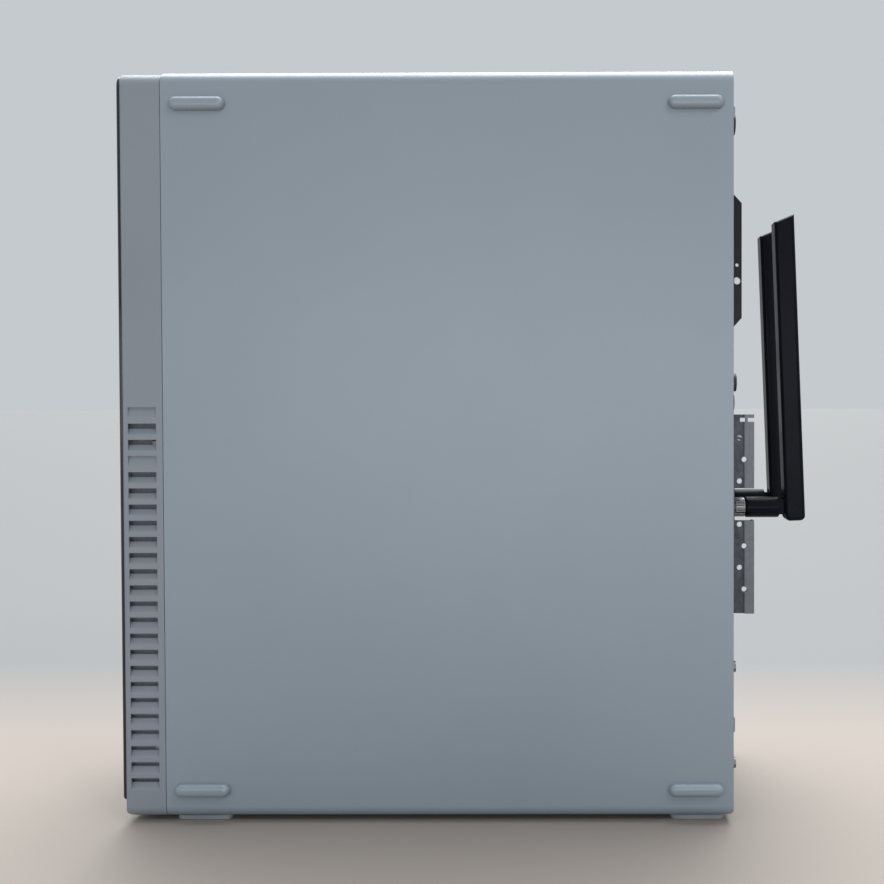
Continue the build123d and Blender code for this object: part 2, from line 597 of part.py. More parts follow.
# ---------------------------------------------------------------------------------------------
# Main board
# ---------------------------------------------------------------------------------------------
BOARD_TOP_Z = BOARD_BOTTOM_Z + BOARD_HEIGHT
BOARD_BACK_X = BOARD_FACE_X + BOARD_THICK
STANDOFF_SPOTS = [
    (y, z) for y in (-72.0, 15.0, 88.0) for z in (96.5, 210.0, 327.0) if (y, z) != (88.0, 327.0)
]
board = block(BOARD_FACE_X, BOARD_BACK_X, BOARD_FRONT_Y, BOARD_REAR_Y, BOARD_BOTTOM_Z, BOARD_TOP_Z)
board = cut(board, [rod_x(2.0, 30, 50, y, z) for y, z in STANDOFF_SPOTS])
save("motherboard", board)
standoffs = []
screws = []
for y, z in STANDOFF_SPOTS:
    hexagon = Pos(BOARD_BACK_X, 0, 0) * extrude(
        Plane.YZ * Pos(y, z) * RegularPolygon(3.2, 6), TRAY_X - BOARD_BACK_X
    )
    standoffs.append(hexagon)
    screw = rod_x(3.0, BOARD_FACE_X - 1.8, BOARD_FACE_X, y, z)
    screw = screw + rod_x(1.5, BOARD_FACE_X - 0.1, BOARD_BACK_X - 0.1, y, z)
    screw = screw - block(BOARD_FACE_X - 3, BOARD_FACE_X - 0.9, y - 1.8, y + 1.8, z - 0.3, z + 0.3)
    screw = screw - block(BOARD_FACE_X - 3, BOARD_FACE_X - 0.9, y - 0.3, y + 0.3, z - 1.8, z + 1.8)
    screws.append(screw)
save("board_fixings", standoffs, screws)

# Processor, its socket and the finned cooler with a fan on top.
SOCKET_X = 35.0
LID_X = 33.6
HEATSINK_X = 8.0
SOCKET_HALF = 25.0
LID_HALF = 18.0
SINK_HALF = 38.0
FIN_COUNT = 17
FIN_PITCH = 4.66
FIN_HALF = 0.6


def processor_square(x0, x1, half):
    return block(
        x0, x1, PROCESSOR_Y - half, PROCESSOR_Y + half, PROCESSOR_Z - half, PROCESSOR_Z + half
    )


socket = processor_square(SOCKET_X, BOARD_FACE_X, SOCKET_HALF)
lid = processor_square(LID_X, SOCKET_X, LID_HALF)
save("processor", socket, lid)
sink = [processor_square(27.6, LID_X, SINK_HALF)]
for k in range(FIN_COUNT):
    y = PROCESSOR_Y - SINK_HALF + FIN_HALF + k * FIN_PITCH
    sink.append(
        block(
            HEATSINK_X, 28.0, y - FIN_HALF, y + FIN_HALF,
            PROCESSOR_Z - SINK_HALF, PROCESSOR_Z + SINK_HALF,
        )
    )
save("cpu_heatsink", join(sink))
CPU_FAN_DEPTH = 15.0
CPU_FAN_PLACE = Pos(HEATSINK_X - 0.2, PROCESSOR_Y, PROCESSOR_Z) * Rot(0, -90, 0)
save("cpu_fan_frame", CPU_FAN_PLACE * fan_frame(CPU_FAN_DEPTH))
save("cpu_fan_rotor", CPU_FAN_PLACE * fan_rotor(CPU_FAN_DEPTH, 9))

# Memory sockets and modules stand between the cooler and the drives.
memory_sockets = []
memory_modules = []
for y in (-20.0, -10.5):
    body = block(30.0, BOARD_FACE_X, y - 3.2, y + 3.2, 186, 326)
    body = body - block(29.0, 36.5, y - 0.9, y + 0.9, 189.0, 323.0)
    for low in (184.0, 323.5):
        body = body + block(22.0, 32.0, y - 2.6, y + 2.6, low, low + 4.5)
    memory_sockets.append(body)
    module = block(7.0, 36.4, y - 0.6, y + 0.6, 189.3, 322.7)
    for chip in range(8):
        low = 193.0 + chip * 16.0
        module = module + block(12, 24, y + 0.5, y + 1.7, low, low + 11.5)
    memory_modules.append(module)
save("memory_modules", memory_modules)

# Expansion sockets: one long and three short, lined up with the rear slots.
expansion = []
for k in range(SLOT_COUNT):
    z = SLOT_BOTTOM_Z + k * SLOT_PITCH - 2.0
    front = -22.0 if k == 3 else 42.0
    body = block(27.0, BOARD_FACE_X, front, 67.0, z - 3.7, z + 3.7)
    body = body - block(26.0, 35.5, front + 2, 65.0, z - 0.95, z + 0.95)
    expansion.append(body)
save("board_sockets", memory_sockets, expansion)
headers = [
    block(26.0, BOARD_FACE_X, -78, -68, 262, 313),
    block(26.0, BOARD_FACE_X, 90, 100, 316, 326.5),
    block(30.0, BOARD_FACE_X, -78, -62, 150, 165),
    block(30.0, BOARD_FACE_X, -78, -62, 168, 183),
    block(32.0, BOARD_FACE_X, -58, -52, 92, 104),
    block(32.0, BOARD_FACE_X, -45, -31, 92, 98),
    block(32.0, BOARD_FACE_X, -24, -10, 92, 98),
]
capacitors = []
for k in range(7):
    capacitors.append(rod_x(4.0, 26.0, BOARD_FACE_X, -2 + k * 13.0, 304.5))
for k in range(5):
    capacitors.append(rod_x(4.0, 26.0, BOARD_FACE_X, 94.0, 222 + k * 13.0))
for k in range(4):
    capacitors.append(rod_x(3.2, 28.0, BOARD_FACE_X, 76.0, 102.0 + k * 20.32))
capacitors = [fillet(c.faces().sort_by(Axis.X)[0].edges(), 0.8) for c in capacitors]
chip_sink = [block(34.0, BOARD_FACE_X, -55, -29, 114, 140)]
for k in range(6):
    chip_sink.append(block(27.0, 34.2, -55 + k * 4.9, -53.5 + k * 4.9, 114, 140))
save("chipset_heatsink", join(chip_sink))
cell = rod_x(10.0, 34.5, BOARD_FACE_X, 22.0, 185.0)
cell = chamfer(cell.edges().filter_by(GeomType.CIRCLE), 0.4)
save("board_components", headers, capacitors, cell)

# ---------------------------------------------------------------------------------------------
# Rear connectors
# ---------------------------------------------------------------------------------------------
SHIELD_Y = (PANEL_BACK_Y, PANEL_BACK_Y + 0.5)


def socket_body(x0, x1, y0, y1, z0, z1, holes, depth):
    """A connector housing along Y, open to the rear at each hole (x0, x1, z0, z1)."""
    body = block(x0, x1, y0, y1, z0, z1)
    for hx0, hx1, hz0, hz1 in holes:
        body = body - block(hx0, hx1, y1 - depth, y1 + 1, hz0, hz1)
    return body


PORT_BOXES = []
usb_stacks = []
for z0 in (252.0, 290.0):
    body = socket_body(
        21.6, 37.6, 98, 122.8, z0, z0 + 14.6,
        [(23.0, 28.4, z0 + 0.8, z0 + 13.8), (30.8, 36.2, z0 + 0.8, z0 + 13.8)], 18,
    )
    for x in (24.0, 31.8):
        body = body + block(x, x + 1.9, 105.5, 121.5, z0 + 1.8, z0 + 12.8)
    usb_stacks.append(body)
    PORT_BOXES.append((21.6, 37.6, z0, z0 + 14.6))
save("rear_usb_ports", usb_stacks)
lan = socket_body(24.0, 37.6, 98, 122.6, 269.8, 285.8, [(26.6, 35.0, 272.0, 283.8)], 15)
lan = lan - block(24.8, 27, 107.6, 124, 275.0, 280.8)
save("network_port", lan)
PORT_BOXES.append((24.0, 37.6, 269.8, 285.8))
display = [
    socket_body(31.0, 37.4, 104, 122.2, 231.5, 246.5, [(32.0, 36.4, 232.6, 245.4)], 12),
    socket_body(31.0, 37.4, 104, 122.2, 209.5, 226.0, [(32.0, 36.4, 210.6, 224.9)], 12),
]
for index, low in enumerate((234.5, 212.5)):
    display[index] = display[index] + block(33.6, 34.6, 110, 121, low, low + 9.5)
save("display_ports", display)
PORT_BOXES.append((31.0, 37.4, 231.5, 246.5))
PORT_BOXES.append((31.0, 37.4, 209.5, 226.0))
KEYBOARD_Z = 320.2
KEYBOARD_X = 30.6
KEYBOARD_RADIUS = 4.7
KEYBOARD_HOLE = 3.9
keyboard_port = block(23.6, 37.6, 100, 121.6, KEYBOARD_Z - 7.0, KEYBOARD_Z + 7.0)
keyboard_port = keyboard_port + rod_y(KEYBOARD_RADIUS, KEYBOARD_X, 121.0, REAR_Y + 2.9, KEYBOARD_Z)
keyboard_port = keyboard_port - rod_y(KEYBOARD_HOLE, KEYBOARD_X, 114.0, REAR_Y + 6.0, KEYBOARD_Z)
keyboard_port = keyboard_port + rod_y(1.4, KEYBOARD_X, 112.0, 120.6, KEYBOARD_Z)
save("keyboard_port", keyboard_port)
PORT_BOXES.append((23.6, 37.6, KEYBOARD_Z - 7.0, KEYBOARD_Z + 7.0))
audio = []
for z, proud in ((199.4, 3.4), (190.0, 2.3)):
    body = block(12.0, 37.6, 104, 121.0, z - 4.6, z + 4.6)
    for x in (31.0, 18.4):
        body = body + rod_y(4.2, x, 120.0, REAR_Y + proud, z)
        body = body - rod_y(1.75, x, 106.0, REAR_Y + 6.0, z)
    audio.append(body)
    PORT_BOXES.append((12.0, 37.6, z - 4.6, z + 4.6))
save("audio_jacks", audio)
shield = block(IO_X[0] - 1.4, IO_X[1] + 1.0, SHIELD_Y[0], SHIELD_Y[1], IO_Z[0] - 1.0, IO_Z[1] + 1.4)
for x0, x1, z0, z1 in PORT_BOXES:
    shield = shield - block(
        x0 - 0.4, x1 + 0.2, SHIELD_Y[0] - 1, SHIELD_Y[1] + 1, z0 - 0.3, z1 + 0.3
    )
for k in range(14):
    z = 214.0 + k * 7.6
    shield = shield - rounded_block(
        -1.0, 17.0, SHIELD_Y[0] - 1, SHIELD_Y[1] + 1, z - 1.4, z + 1.4, Axis.Y, 1.3
    )
save("io_shield", shield)

# ---------------------------------------------------------------------------------------------
# Slot bay: a perforated bump-out around the card brackets, with covers and a hinged latch
# ---------------------------------------------------------------------------------------------
BAY_X = (-38.0, 34.0)
BAY_Z = (91.0, 174.0 - 0.6)
BAY_BACK_Y = REAR_Y + 11.5
BAY_FRONT_Y = PANEL_BACK_Y + 1.1
BAY_HOLE_RADIUS = 1.25
BAY_HOLE_RISE = 2.8
BAY_GAP_Z = (ANTENNA_Z - 5.5, ANTENNA_Z + 9.6)
BAY_GAP_MARGIN = 1.5
bay = block(BAY_X[0], BAY_X[1], BAY_FRONT_Y, BAY_BACK_Y, BAY_Z[0], BAY_Z[1])
bay = bay - block(
    BAY_X[0] + 1, BAY_X[1] - 1, BAY_FRONT_Y - 1, BAY_BACK_Y + 1, BAY_Z[0] + 1, BAY_Z[1] - 1
)
for x0, x1 in ((BAY_X[1] - 4.0, BAY_X[1]), (BAY_X[0], BAY_X[0] + 4.0)):
    bay = bay + block(x0, x1, BAY_BACK_Y - 1, BAY_BACK_Y, BAY_Z[0], BAY_Z[1])
BAY_EAR_TOP = 184.4
BAY_RIB = 1.1
BAY_RIB_WIDTH = 4.6
bay = bay + block(
    BAY_X[1] - 1.0, BAY_X[1], BAY_FRONT_Y + 1.0, BAY_BACK_Y, BAY_Z[1] - 1, BAY_EAR_TOP
)
bay_cuts = [
    block(30, 40, BAY_BACK_Y - 3, BAY_BACK_Y + 1, BAY_EAR_TOP - 3.4, BAY_EAR_TOP - 1.6),
    block(30, 40, BAY_BACK_Y - 6.5, BAY_BACK_Y - 4.0, BAY_EAR_TOP - 3.4, BAY_EAR_TOP - 1.6),
]
for k in range(SLOT_COUNT):
    z_outer = SLOT_BOTTOM_Z + BAY_HOLE_RISE + k * SLOT_PITCH
    z_inner = z_outer + SLOT_PITCH / 2
    for z, y in ((z_outer, BAY_BACK_Y - 4.5), (z_inner, BAY_BACK_Y - 6.7)):
        if not BAY_GAP_Z[0] - BAY_GAP_MARGIN < z < BAY_GAP_Z[1] + BAY_GAP_MARGIN:
            bay_cuts.append(rod_x(BAY_HOLE_RADIUS, -60, 60, y, z))
bay_cuts.append(block(30.0, 40.0, BAY_FRONT_Y + 2.5, BAY_BACK_Y + 1, *BAY_GAP_Z))
bay = bay + block(
    BAY_X[1] - 1.0, BAY_X[1] + BAY_RIB, BAY_BACK_Y - BAY_RIB_WIDTH, BAY_BACK_Y, BAY_Z[0], BAY_EAR_TOP
)
bay = cut(bay, bay_cuts)

# Plain covers close the unused slots; each hooks over the latch ledge.
BRACKET_PLATE_Y = (PANEL_BACK_Y + 0.1, PANEL_BACK_Y + 1.0)
covers = []
for k in range(SLOT_COUNT):
    if k == WIFI_SLOT:
        continue
    z = SLOT_BOTTOM_Z + k * SLOT_PITCH
    plate = block(-36.6, 32.6, BRACKET_PLATE_Y[0], BRACKET_PLATE_Y[1], z - 9.0, z + 9.0)
    for row in range(9):
        x = -24.0 + row * 6.2
        plate = plate - rounded_block(
            x - 1.5, x + 1.5, PANEL_Y, REAR_Y + 1, z - 5.5, z + 5.5, Axis.Y, 1.4
        )
    covers.append(plate)
save("slot_covers", covers)
wifi_plate = block(
    -36.6, 32.6, BRACKET_PLATE_Y[0], BRACKET_PLATE_Y[1], ANTENNA_Z - 9.0, ANTENNA_Z + 9.0
)
wifi_plate = cut(
    wifi_plate, [rod_y(3.0, x, PANEL_Y, REAR_Y + 2, ANTENNA_Z) for x in ANTENNA_X]
)
for x in (-8.0, 8.0):
    wifi_plate = wifi_plate + block(
        x - 4, x + 4, PANEL_Y - 6, BRACKET_PLATE_Y[1], ANTENNA_Z - 5.5, ANTENNA_Z - 4.7
    )
save("wifi_bracket", wifi_plate)
card = block(-18.0, 26.8, 46.0, 117.6, ANTENNA_Z - 2.8, ANTENNA_Z - 1.2)
card = card + block(26.6, 35.2, 46.0, 62.0, ANTENNA_Z - 2.7, ANTENNA_Z - 1.3)
card_can = block(-8.0, 18.0, 70.0, 98.0, ANTENNA_Z - 1.2, ANTENNA_Z + 1.6)
save("wifi_card", card + card_can)
jacks = []
for x in ANTENNA_X:
    thread = rod_y(2.95, x, 118.4, REAR_Y + 8.5, ANTENNA_Z)
    nut = extrude(Plane.XZ * Pos(x, ANTENNA_Z) * RegularPolygon(4.4, 6), -1.8)
    jacks.append(thread + Pos(0, BRACKET_PLATE_Y[1], 0) * nut)
save("antenna_jacks", jacks)
LATCH_PIN_RADIUS = 1.2
LATCH_AXIS = (-34.5, REAR_Y + 4.0)
latch = block(-35.5, -31.0, REAR_Y + 0.3, REAR_Y + 1.5, BAY_Z[0] + 3, BAY_Z[1] - 3)
latch = latch + block(-35.0, -34.0, REAR_Y + 1.4, REAR_Y + 4.0, BAY_Z[0] + 3, BAY_Z[1] - 3)
for z0, z1 in ((BAY_Z[0] + 3, BAY_Z[0] + 13), (BAY_Z[1] - 13, BAY_Z[1] - 3)):
    latch = latch + rod_z(2.2, LATCH_AXIS[0], LATCH_AXIS[1], z0, z1)
for low in (104.0, 152.0):
    latch = latch + block(LATCH_AXIS[0], -29.0, REAR_Y + 3.3, REAR_Y + 4.5, low, low + 12)
save("slot_latch", latch - rod_z(LATCH_PIN_RADIUS + RUNNING_FIT, *LATCH_AXIS, 80, 190))
latch_pin = rod_z(LATCH_PIN_RADIUS, *LATCH_AXIS, BAY_Z[0] + 0.8, BAY_Z[1] - 0.8)
save("slot_bay", bay + latch_pin)

# ---------------------------------------------------------------------------------------------
# Antennas: a coupling nut and barrel that swivel on the jack, and a blade that tilts on a pin
# ---------------------------------------------------------------------------------------------
BARREL_RADIUS = 4.9
BARREL_Y = (REAR_Y + 8.6, REAR_Y + 24.4)
TONGUE_HALF = 2.0
PIN_RADIUS = 1.5
BLADE_BOTTOM = ANTENNA_Z - 6.2
for name, x in zip(ANTENNA_NAMES, ANTENNA_X):
    nut = rod_y(4.6, x, REAR_Y + 3.4, REAR_Y + 8.4, ANTENNA_Z)
    nut = chamfer(nut.edges().filter_by(GeomType.CIRCLE), 0.4)
    for k in range(20):
        angle = 2 * math.pi * k / 20
        nut = nut - rod_y(
            0.35, x + 4.75 * math.cos(angle), REAR_Y + 3, REAR_Y + 9, ANTENNA_Z + 4.75 * math.sin(angle)
        )
    bore = rod_y(2.95 + RUNNING_FIT, x, REAR_Y, REAR_Y + 10.0, ANTENNA_Z)
    save(f"{name}_antenna_nut", nut - bore)
    barrel = rod_y(BARREL_RADIUS, x, BARREL_Y[0], BARREL_Y[1], ANTENNA_Z)
    barrel = fillet(barrel.edges().filter_by(GeomType.CIRCLE), 0.6)
    neck = block(
        x - TONGUE_HALF, x + TONGUE_HALF, BARREL_Y[1] - 1, ANTENNA_PIVOT_Y,
        ANTENNA_Z - 3.4, ANTENNA_Z + 3.4,
    )
    eye = rod_x(3.4, x - TONGUE_HALF, x + TONGUE_HALF, ANTENNA_PIVOT_Y, ANTENNA_Z)
    base = barrel + neck + eye
    base = base - rod_x(PIN_RADIUS + RUNNING_FIT, x - 9, x + 9, ANTENNA_PIVOT_Y, ANTENNA_Z)
    base = base - bore
    save(f"{name}_antenna_base", base)
    half = ANTENNA_THICK / 2
    rise = math.tan(math.radians(ANTENNA_TOP_SLANT)) * ANTENNA_THICK
    top = BLADE_BOTTOM + ANTENNA_LENGTH
    profile = Polyline(
        (ANTENNA_PIVOT_Y - half, BLADE_BOTTOM),
        (ANTENNA_PIVOT_Y + half, BLADE_BOTTOM),
        (ANTENNA_PIVOT_Y + half, top),
        (ANTENNA_PIVOT_Y - half, top - rise),
        close=True,
    )
    blade = Pos(x - ANTENNA_WIDTH / 2, 0, 0) * extrude(Plane.YZ * make_face(profile), ANTENNA_WIDTH)
    blade = fillet(blade.edges().filter_by(Axis.X).sort_by(Axis.Z)[:2], 2.4)
    blade = fillet(blade.faces().sort_by(Axis.X)[0].edges(), 1.9)
    blade = fillet(blade.faces().sort_by(Axis.X)[-1].edges(), 1.9)
    fork = block(
        x - TONGUE_HALF - 0.4, x + TONGUE_HALF + 0.4, ANTENNA_PIVOT_Y - 9, ANTENNA_PIVOT_Y + 9,
        BLADE_BOTTOM - 1, ANTENNA_Z + 5.2,
    )
    blade = blade - fork - rod_x(PIN_RADIUS, x - 12, x + 12, ANTENNA_PIVOT_Y, ANTENNA_Z)
    pivot = Axis((x, ANTENNA_PIVOT_Y, ANTENNA_Z), (1, 0, 0))
    pin = rod_x(PIN_RADIUS, x - 5.4, x + 5.4, ANTENNA_PIVOT_Y, ANTENNA_Z)
    save(f"{name}_antenna_blade", blade.rotate(pivot, ANTENNA_LEAN) + pin)

# ---------------------------------------------------------------------------------------------
# Power supply
# ---------------------------------------------------------------------------------------------
PSU_TOP = PSU_BOTTOM + PSU_HEIGHT
PSU_FRONT_Y = PSU_REAR_Y - PSU_LENGTH
PSU_FAN_Y = 30.0
INLET_X = (-34.0, -6.4)
INLET_Z = (26.0, 46.0)
SWITCH_X = (4.0, 17.0)
SWITCH_Z = (26.5, 45.5)
case = block(-PSU_HALF_WIDTH, PSU_HALF_WIDTH, PSU_FRONT_Y, PSU_REAR_Y, PSU_BOTTOM, PSU_TOP)
case = fillet(case.edges().filter_by(Axis.Y), 1.2)
case = case - block(
    -PSU_HALF_WIDTH + 1, PSU_HALF_WIDTH - 1, PSU_FRONT_Y + 1, PSU_REAR_Y - 1, PSU_BOTTOM + 1,
    PSU_TOP - 1,
)
case_cuts = [
    rod_z(36.5, 0, PSU_FAN_Y, PSU_TOP - 3, PSU_TOP + 3),
    block(INLET_X[0], INLET_X[1], PSU_REAR_Y - 3, PSU_REAR_Y + 3, INLET_Z[0], INLET_Z[1]),
    block(SWITCH_X[0], SWITCH_X[1], PSU_REAR_Y - 3, PSU_REAR_Y + 3, SWITCH_Z[0], SWITCH_Z[1]),
    block(-18, 18, PSU_FRONT_Y - 2, PSU_FRONT_Y + 3, 20, 32),
]
for row in range(9):
    z = 14.0 + row * 6.0
    case_cuts.append(
        rounded_block(21, 36, PSU_REAR_Y - 3, PSU_REAR_Y + 3, z - 1.7, z + 1.7, Axis.Y, 1.6)
    )
save("psu_case", cut(case, case_cuts))
psu_board = block(-40, 40, PSU_FRONT_Y + 4, 97, 11.0, 12.6)
psu_parts = [
    block(-30, 4, -48, -14, 12.6, 46),
    block(10, 34, -50, -26, 12.6, 40),
    block(-36, -30, 0, 80, 12.6, 50),
    block(30, 36, 0, 80, 12.6, 50),
]
for y in (8.0, 30.0):
    psu_parts.append(rod_z(10.0, -14, y, 12.6, 50))
    psu_parts.append(rod_z(8.0, 12, y + 4, 12.6, 44))
save("psu_board", psu_board, psu_parts)
inlet = block(INLET_X[0] + 0.2, INLET_X[1] - 0.2, 98, PSU_REAR_Y, INLET_Z[0] + 0.2, INLET_Z[1] - 0.2)
inlet = inlet + rounded_block(
    INLET_X[0] - 1.6, INLET_X[1] + 1.6, PSU_REAR_Y, PSU_REAR_Y + 1.8,
    INLET_Z[0] - 1.6, INLET_Z[1] + 1.6, Axis.Y, 2.0,
)
inlet = inlet - block(
    INLET_X[0] + 2.0, INLET_X[1] - 2.0, 104, REAR_Y + 3, INLET_Z[0] + 1.8, INLET_Z[1] - 1.8
)
INLET_CENTRE = (INLET_X[0] + INLET_X[1]) / 2
for x, z in ((INLET_CENTRE - 7, 34.0), (INLET_CENTRE + 7, 34.0), (INLET_CENTRE, 38.6)):
    inlet = inlet + block(x - 1, x + 1, 102, 115.4, z - 2, z + 2)
save("mains_inlet", inlet)

# The rocker turns on two trunnions inside its bezel frame.
ROCKER_X = (SWITCH_X[0] + SWITCH_X[1]) / 2
ROCKER_Z = (SWITCH_Z[0] + SWITCH_Z[1]) / 2
ROCKER_Y = PSU_REAR_Y - 2.0
frame_ring = block(
    SWITCH_X[0] + 0.2, SWITCH_X[1] - 0.2, 104, PSU_REAR_Y, SWITCH_Z[0] + 0.2, SWITCH_Z[1] - 0.2
)
frame_ring = frame_ring + rounded_block(
    SWITCH_X[0] - 1.2, SWITCH_X[1] + 1.2, PSU_REAR_Y, PSU_REAR_Y + 1.4,
    SWITCH_Z[0] - 1.2, SWITCH_Z[1] + 1.2, Axis.Y, 1.5,
)
frame_ring = frame_ring - block(
    SWITCH_X[0] + 1.6, SWITCH_X[1] - 1.6, 106, REAR_Y + 3, SWITCH_Z[0] + 1.4, SWITCH_Z[1] - 1.4
)
frame_ring = frame_ring - rod_x(1.0 + RUNNING_FIT, SWITCH_X[0] + 0.6, SWITCH_X[1] - 0.6, ROCKER_Y,
                                ROCKER_Z)
save("psu_switch_frame", frame_ring)
rocker_profile = Polyline(
    (ROCKER_Y - 2.6, ROCKER_Z),
    (ROCKER_Y + 0.4, ROCKER_Z - 7.4),
    (ROCKER_Y + 3.9, ROCKER_Z - 7.2),
    (ROCKER_Y + 2.4, ROCKER_Z),
    (ROCKER_Y + 1.0, ROCKER_Z + 7.2),
    (ROCKER_Y - 2.2, ROCKER_Z + 6.0),
    close=True,
)
rocker = Pos(SWITCH_X[0] + 2.0, 0, 0) * extrude(
    Plane.YZ * make_face(rocker_profile), SWITCH_X[1] - SWITCH_X[0] - 4.0
)
rocker = rocker + rod_x(1.0, SWITCH_X[0] + 0.9, SWITCH_X[1] - 0.9, ROCKER_Y, ROCKER_Z)
save("psu_switch_rocker", rocker)
PSU_FAN_DEPTH = 15.0
PSU_FAN_PLACE = Pos(0, PSU_FAN_Y, PSU_TOP - 1.2 - PSU_FAN_DEPTH)
save("psu_fan_frame", PSU_FAN_PLACE * fan_frame(PSU_FAN_DEPTH))
save("psu_fan_rotor", PSU_FAN_PLACE * fan_rotor(PSU_FAN_DEPTH, 7))
grille = []
for radius in (10.0, 18.0, 26.0, 34.0):
    grille.append(Pos(0, PSU_FAN_Y, PSU_TOP + 0.8) * Torus(radius, 0.7))
for k in range(4):
    wire = Pos(0, PSU_FAN_Y, PSU_TOP + 0.8) * Rot(0, 0, 45 + 90 * k)
    grille.append(wire * block(9.5, 48.0, -0.7, 0.7, -0.7, 0.7))
grille_whole = join(grille)
save("psu_fan_grille", grille_whole & block(-42, 42, -20, 90, PSU_TOP, PSU_TOP + 3))
psu_screws = [pan_screw_y(x, z, PANEL_BACK_Y, 1, 2.7, 0.9) for x, z in PSU_SCREWS]
save("rear_screws", shell_screws, psu_screws)

# ---------------------------------------------------------------------------------------------
# Drives and their cage
# ---------------------------------------------------------------------------------------------
DRIVE_BACK_Y = DRIVE_FRONT_Y + DRIVE_WIDTH
DRIVE_TOP_Z = DRIVE_BOTTOM_Z + DRIVE_LENGTH
CAGE_WALL = 1.0
CAGE_PLATE_X = 15.2
CAGE_X = -45.0
CAGE_GAP = 0.4
CAGE_Z = (176.0, 334.0)
CAGE_FRONT_Y = DRIVE_FRONT_Y - CAGE_GAP - CAGE_WALL
CAGE_REAR_Y = DRIVE_BACK_Y + CAGE_GAP + CAGE_WALL
cage_front = block(CAGE_X, CAGE_PLATE_X, CAGE_FRONT_Y, CAGE_FRONT_Y + CAGE_WALL, *CAGE_Z)
cage_back = block(CAGE_X, CAGE_PLATE_X, CAGE_REAR_Y - CAGE_WALL, CAGE_REAR_Y, *CAGE_Z)
cage_plate = block(
    CAGE_PLATE_X, CAGE_PLATE_X + CAGE_WALL, CAGE_FRONT_Y, CAGE_REAR_Y, *CAGE_Z
)
cage_shelf = block(
    CAGE_X, CAGE_PLATE_X, CAGE_FRONT_Y + 0.8, CAGE_REAR_Y - 0.8, CAGE_Z[0], CAGE_Z[0] + CAGE_WALL
)
cage = cage_front + cage_back + cage_plate + cage_shelf
cage_cuts = []
for low in (192.0, 264.0):
    cage_cuts.append(block(CAGE_PLATE_X - 2, CAGE_PLATE_X + 3, -118, -42, low, low + 58))
for x in (-30.4, 0.0):
    for low in (205.0, 258.0):
        cage_cuts.append(block(x - 7, x + 7, -140, -20, low, low + 42))
SCREW_ROWS = (DRIVE_BOTTOM_Z + 10.0, DRIVE_BOTTOM_Z + 138.0)
DRIVE_SCREW_HEAD = 2.6
drive_screws = []
for x0 in DRIVE_X:
    x = x0 + 6.4
    for z in SCREW_ROWS:
        cage_cuts.append(rod_y(1.8, x, -140, -20, z))
        drive_screws.append(pan_screw_y(x, z, CAGE_FRONT_Y, -1, DRIVE_SCREW_HEAD, 1.3))
        drive_screws.append(pan_screw_y(x, z, CAGE_REAR_Y, 1, DRIVE_SCREW_HEAD, 1.3))
save("drive_cage", cut(cage, cage_cuts))
save("drive_screws", drive_screws)
for name, x0 in zip(("left", "right"), DRIVE_X):
    body = block(x0, x0 + DRIVE_THICK - 1.6, DRIVE_FRONT_Y, DRIVE_BACK_Y, DRIVE_BOTTOM_Z, DRIVE_TOP_Z)
    body = fillet(body.edges().filter_by(Axis.X), 3.0)
    body = body - block(
        x0 - 1, x0 + 0.8, DRIVE_FRONT_Y + 8, DRIVE_BACK_Y - 8, DRIVE_BOTTOM_Z + 12, DRIVE_TOP_Z - 12
    )
    body = body + rod_x(24, x0 + 0.2, x0 + 1, DRIVE_FRONT_Y + 50, DRIVE_TOP_Z - 52)
    plug = block(x0 + 14, x0 + 22, DRIVE_FRONT_Y + 20, DRIVE_FRONT_Y + 62, DRIVE_BOTTOM_Z - 1.5,
                 DRIVE_BOTTOM_Z + 0.5)
    board_x = x0 + DRIVE_THICK - 1.6
    drive_board = block(
        board_x, board_x + 1.6, DRIVE_FRONT_Y + 6, DRIVE_BACK_Y - 6,
        DRIVE_BOTTOM_Z + 2, DRIVE_BOTTOM_Z + 70,
    )
    save(f"hard_drive_{name}", body + plug, drive_board)
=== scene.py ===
import bmesh
import bpy
import math
from mathutils import Matrix, Vector


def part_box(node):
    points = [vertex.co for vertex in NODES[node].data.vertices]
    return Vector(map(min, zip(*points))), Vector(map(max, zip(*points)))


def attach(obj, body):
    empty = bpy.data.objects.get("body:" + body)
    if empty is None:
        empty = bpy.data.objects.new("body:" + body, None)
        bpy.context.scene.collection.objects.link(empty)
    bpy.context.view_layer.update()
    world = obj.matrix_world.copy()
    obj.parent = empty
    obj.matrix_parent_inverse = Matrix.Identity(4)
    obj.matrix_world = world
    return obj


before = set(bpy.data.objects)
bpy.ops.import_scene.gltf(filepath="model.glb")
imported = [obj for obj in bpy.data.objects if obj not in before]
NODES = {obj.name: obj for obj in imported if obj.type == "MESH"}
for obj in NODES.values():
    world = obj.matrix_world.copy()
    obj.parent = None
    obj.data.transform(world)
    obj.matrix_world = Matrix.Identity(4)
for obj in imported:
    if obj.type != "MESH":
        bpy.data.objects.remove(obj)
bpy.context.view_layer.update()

# Galvanised chassis: the board tray, rear panel, front frame, drive cage, slot latch and supply
# case are cut and folded from zinc-coated steel sheet. The zinc freezes in dull, faintly varied
# spangles, and the shear leaves thin bright edges.


def shader(name):
    """A new material with its node tree, its main shader and a coordinate source in metres."""
    material = bpy.data.materials.new(name)
    material.use_nodes = True
    tree = material.node_tree
    place = tree.nodes.new("ShaderNodeTexCoord").outputs["Object"]
    return material, tree, tree.nodes["Principled BSDF"], place


def noise(tree, place, scale, detail=2.0, stretch=(1, 1, 1)):
    mapping = tree.nodes.new("ShaderNodeMapping")
    mapping.inputs["Scale"].default_value = stretch
    tree.links.new(place, mapping.inputs["Vector"])
    texture = tree.nodes.new("ShaderNodeTexNoise")
    texture.inputs["Scale"].default_value = scale
    texture.inputs["Detail"].default_value = detail
    tree.links.new(mapping.outputs["Vector"], texture.inputs["Vector"])
    return texture.outputs["Fac"]


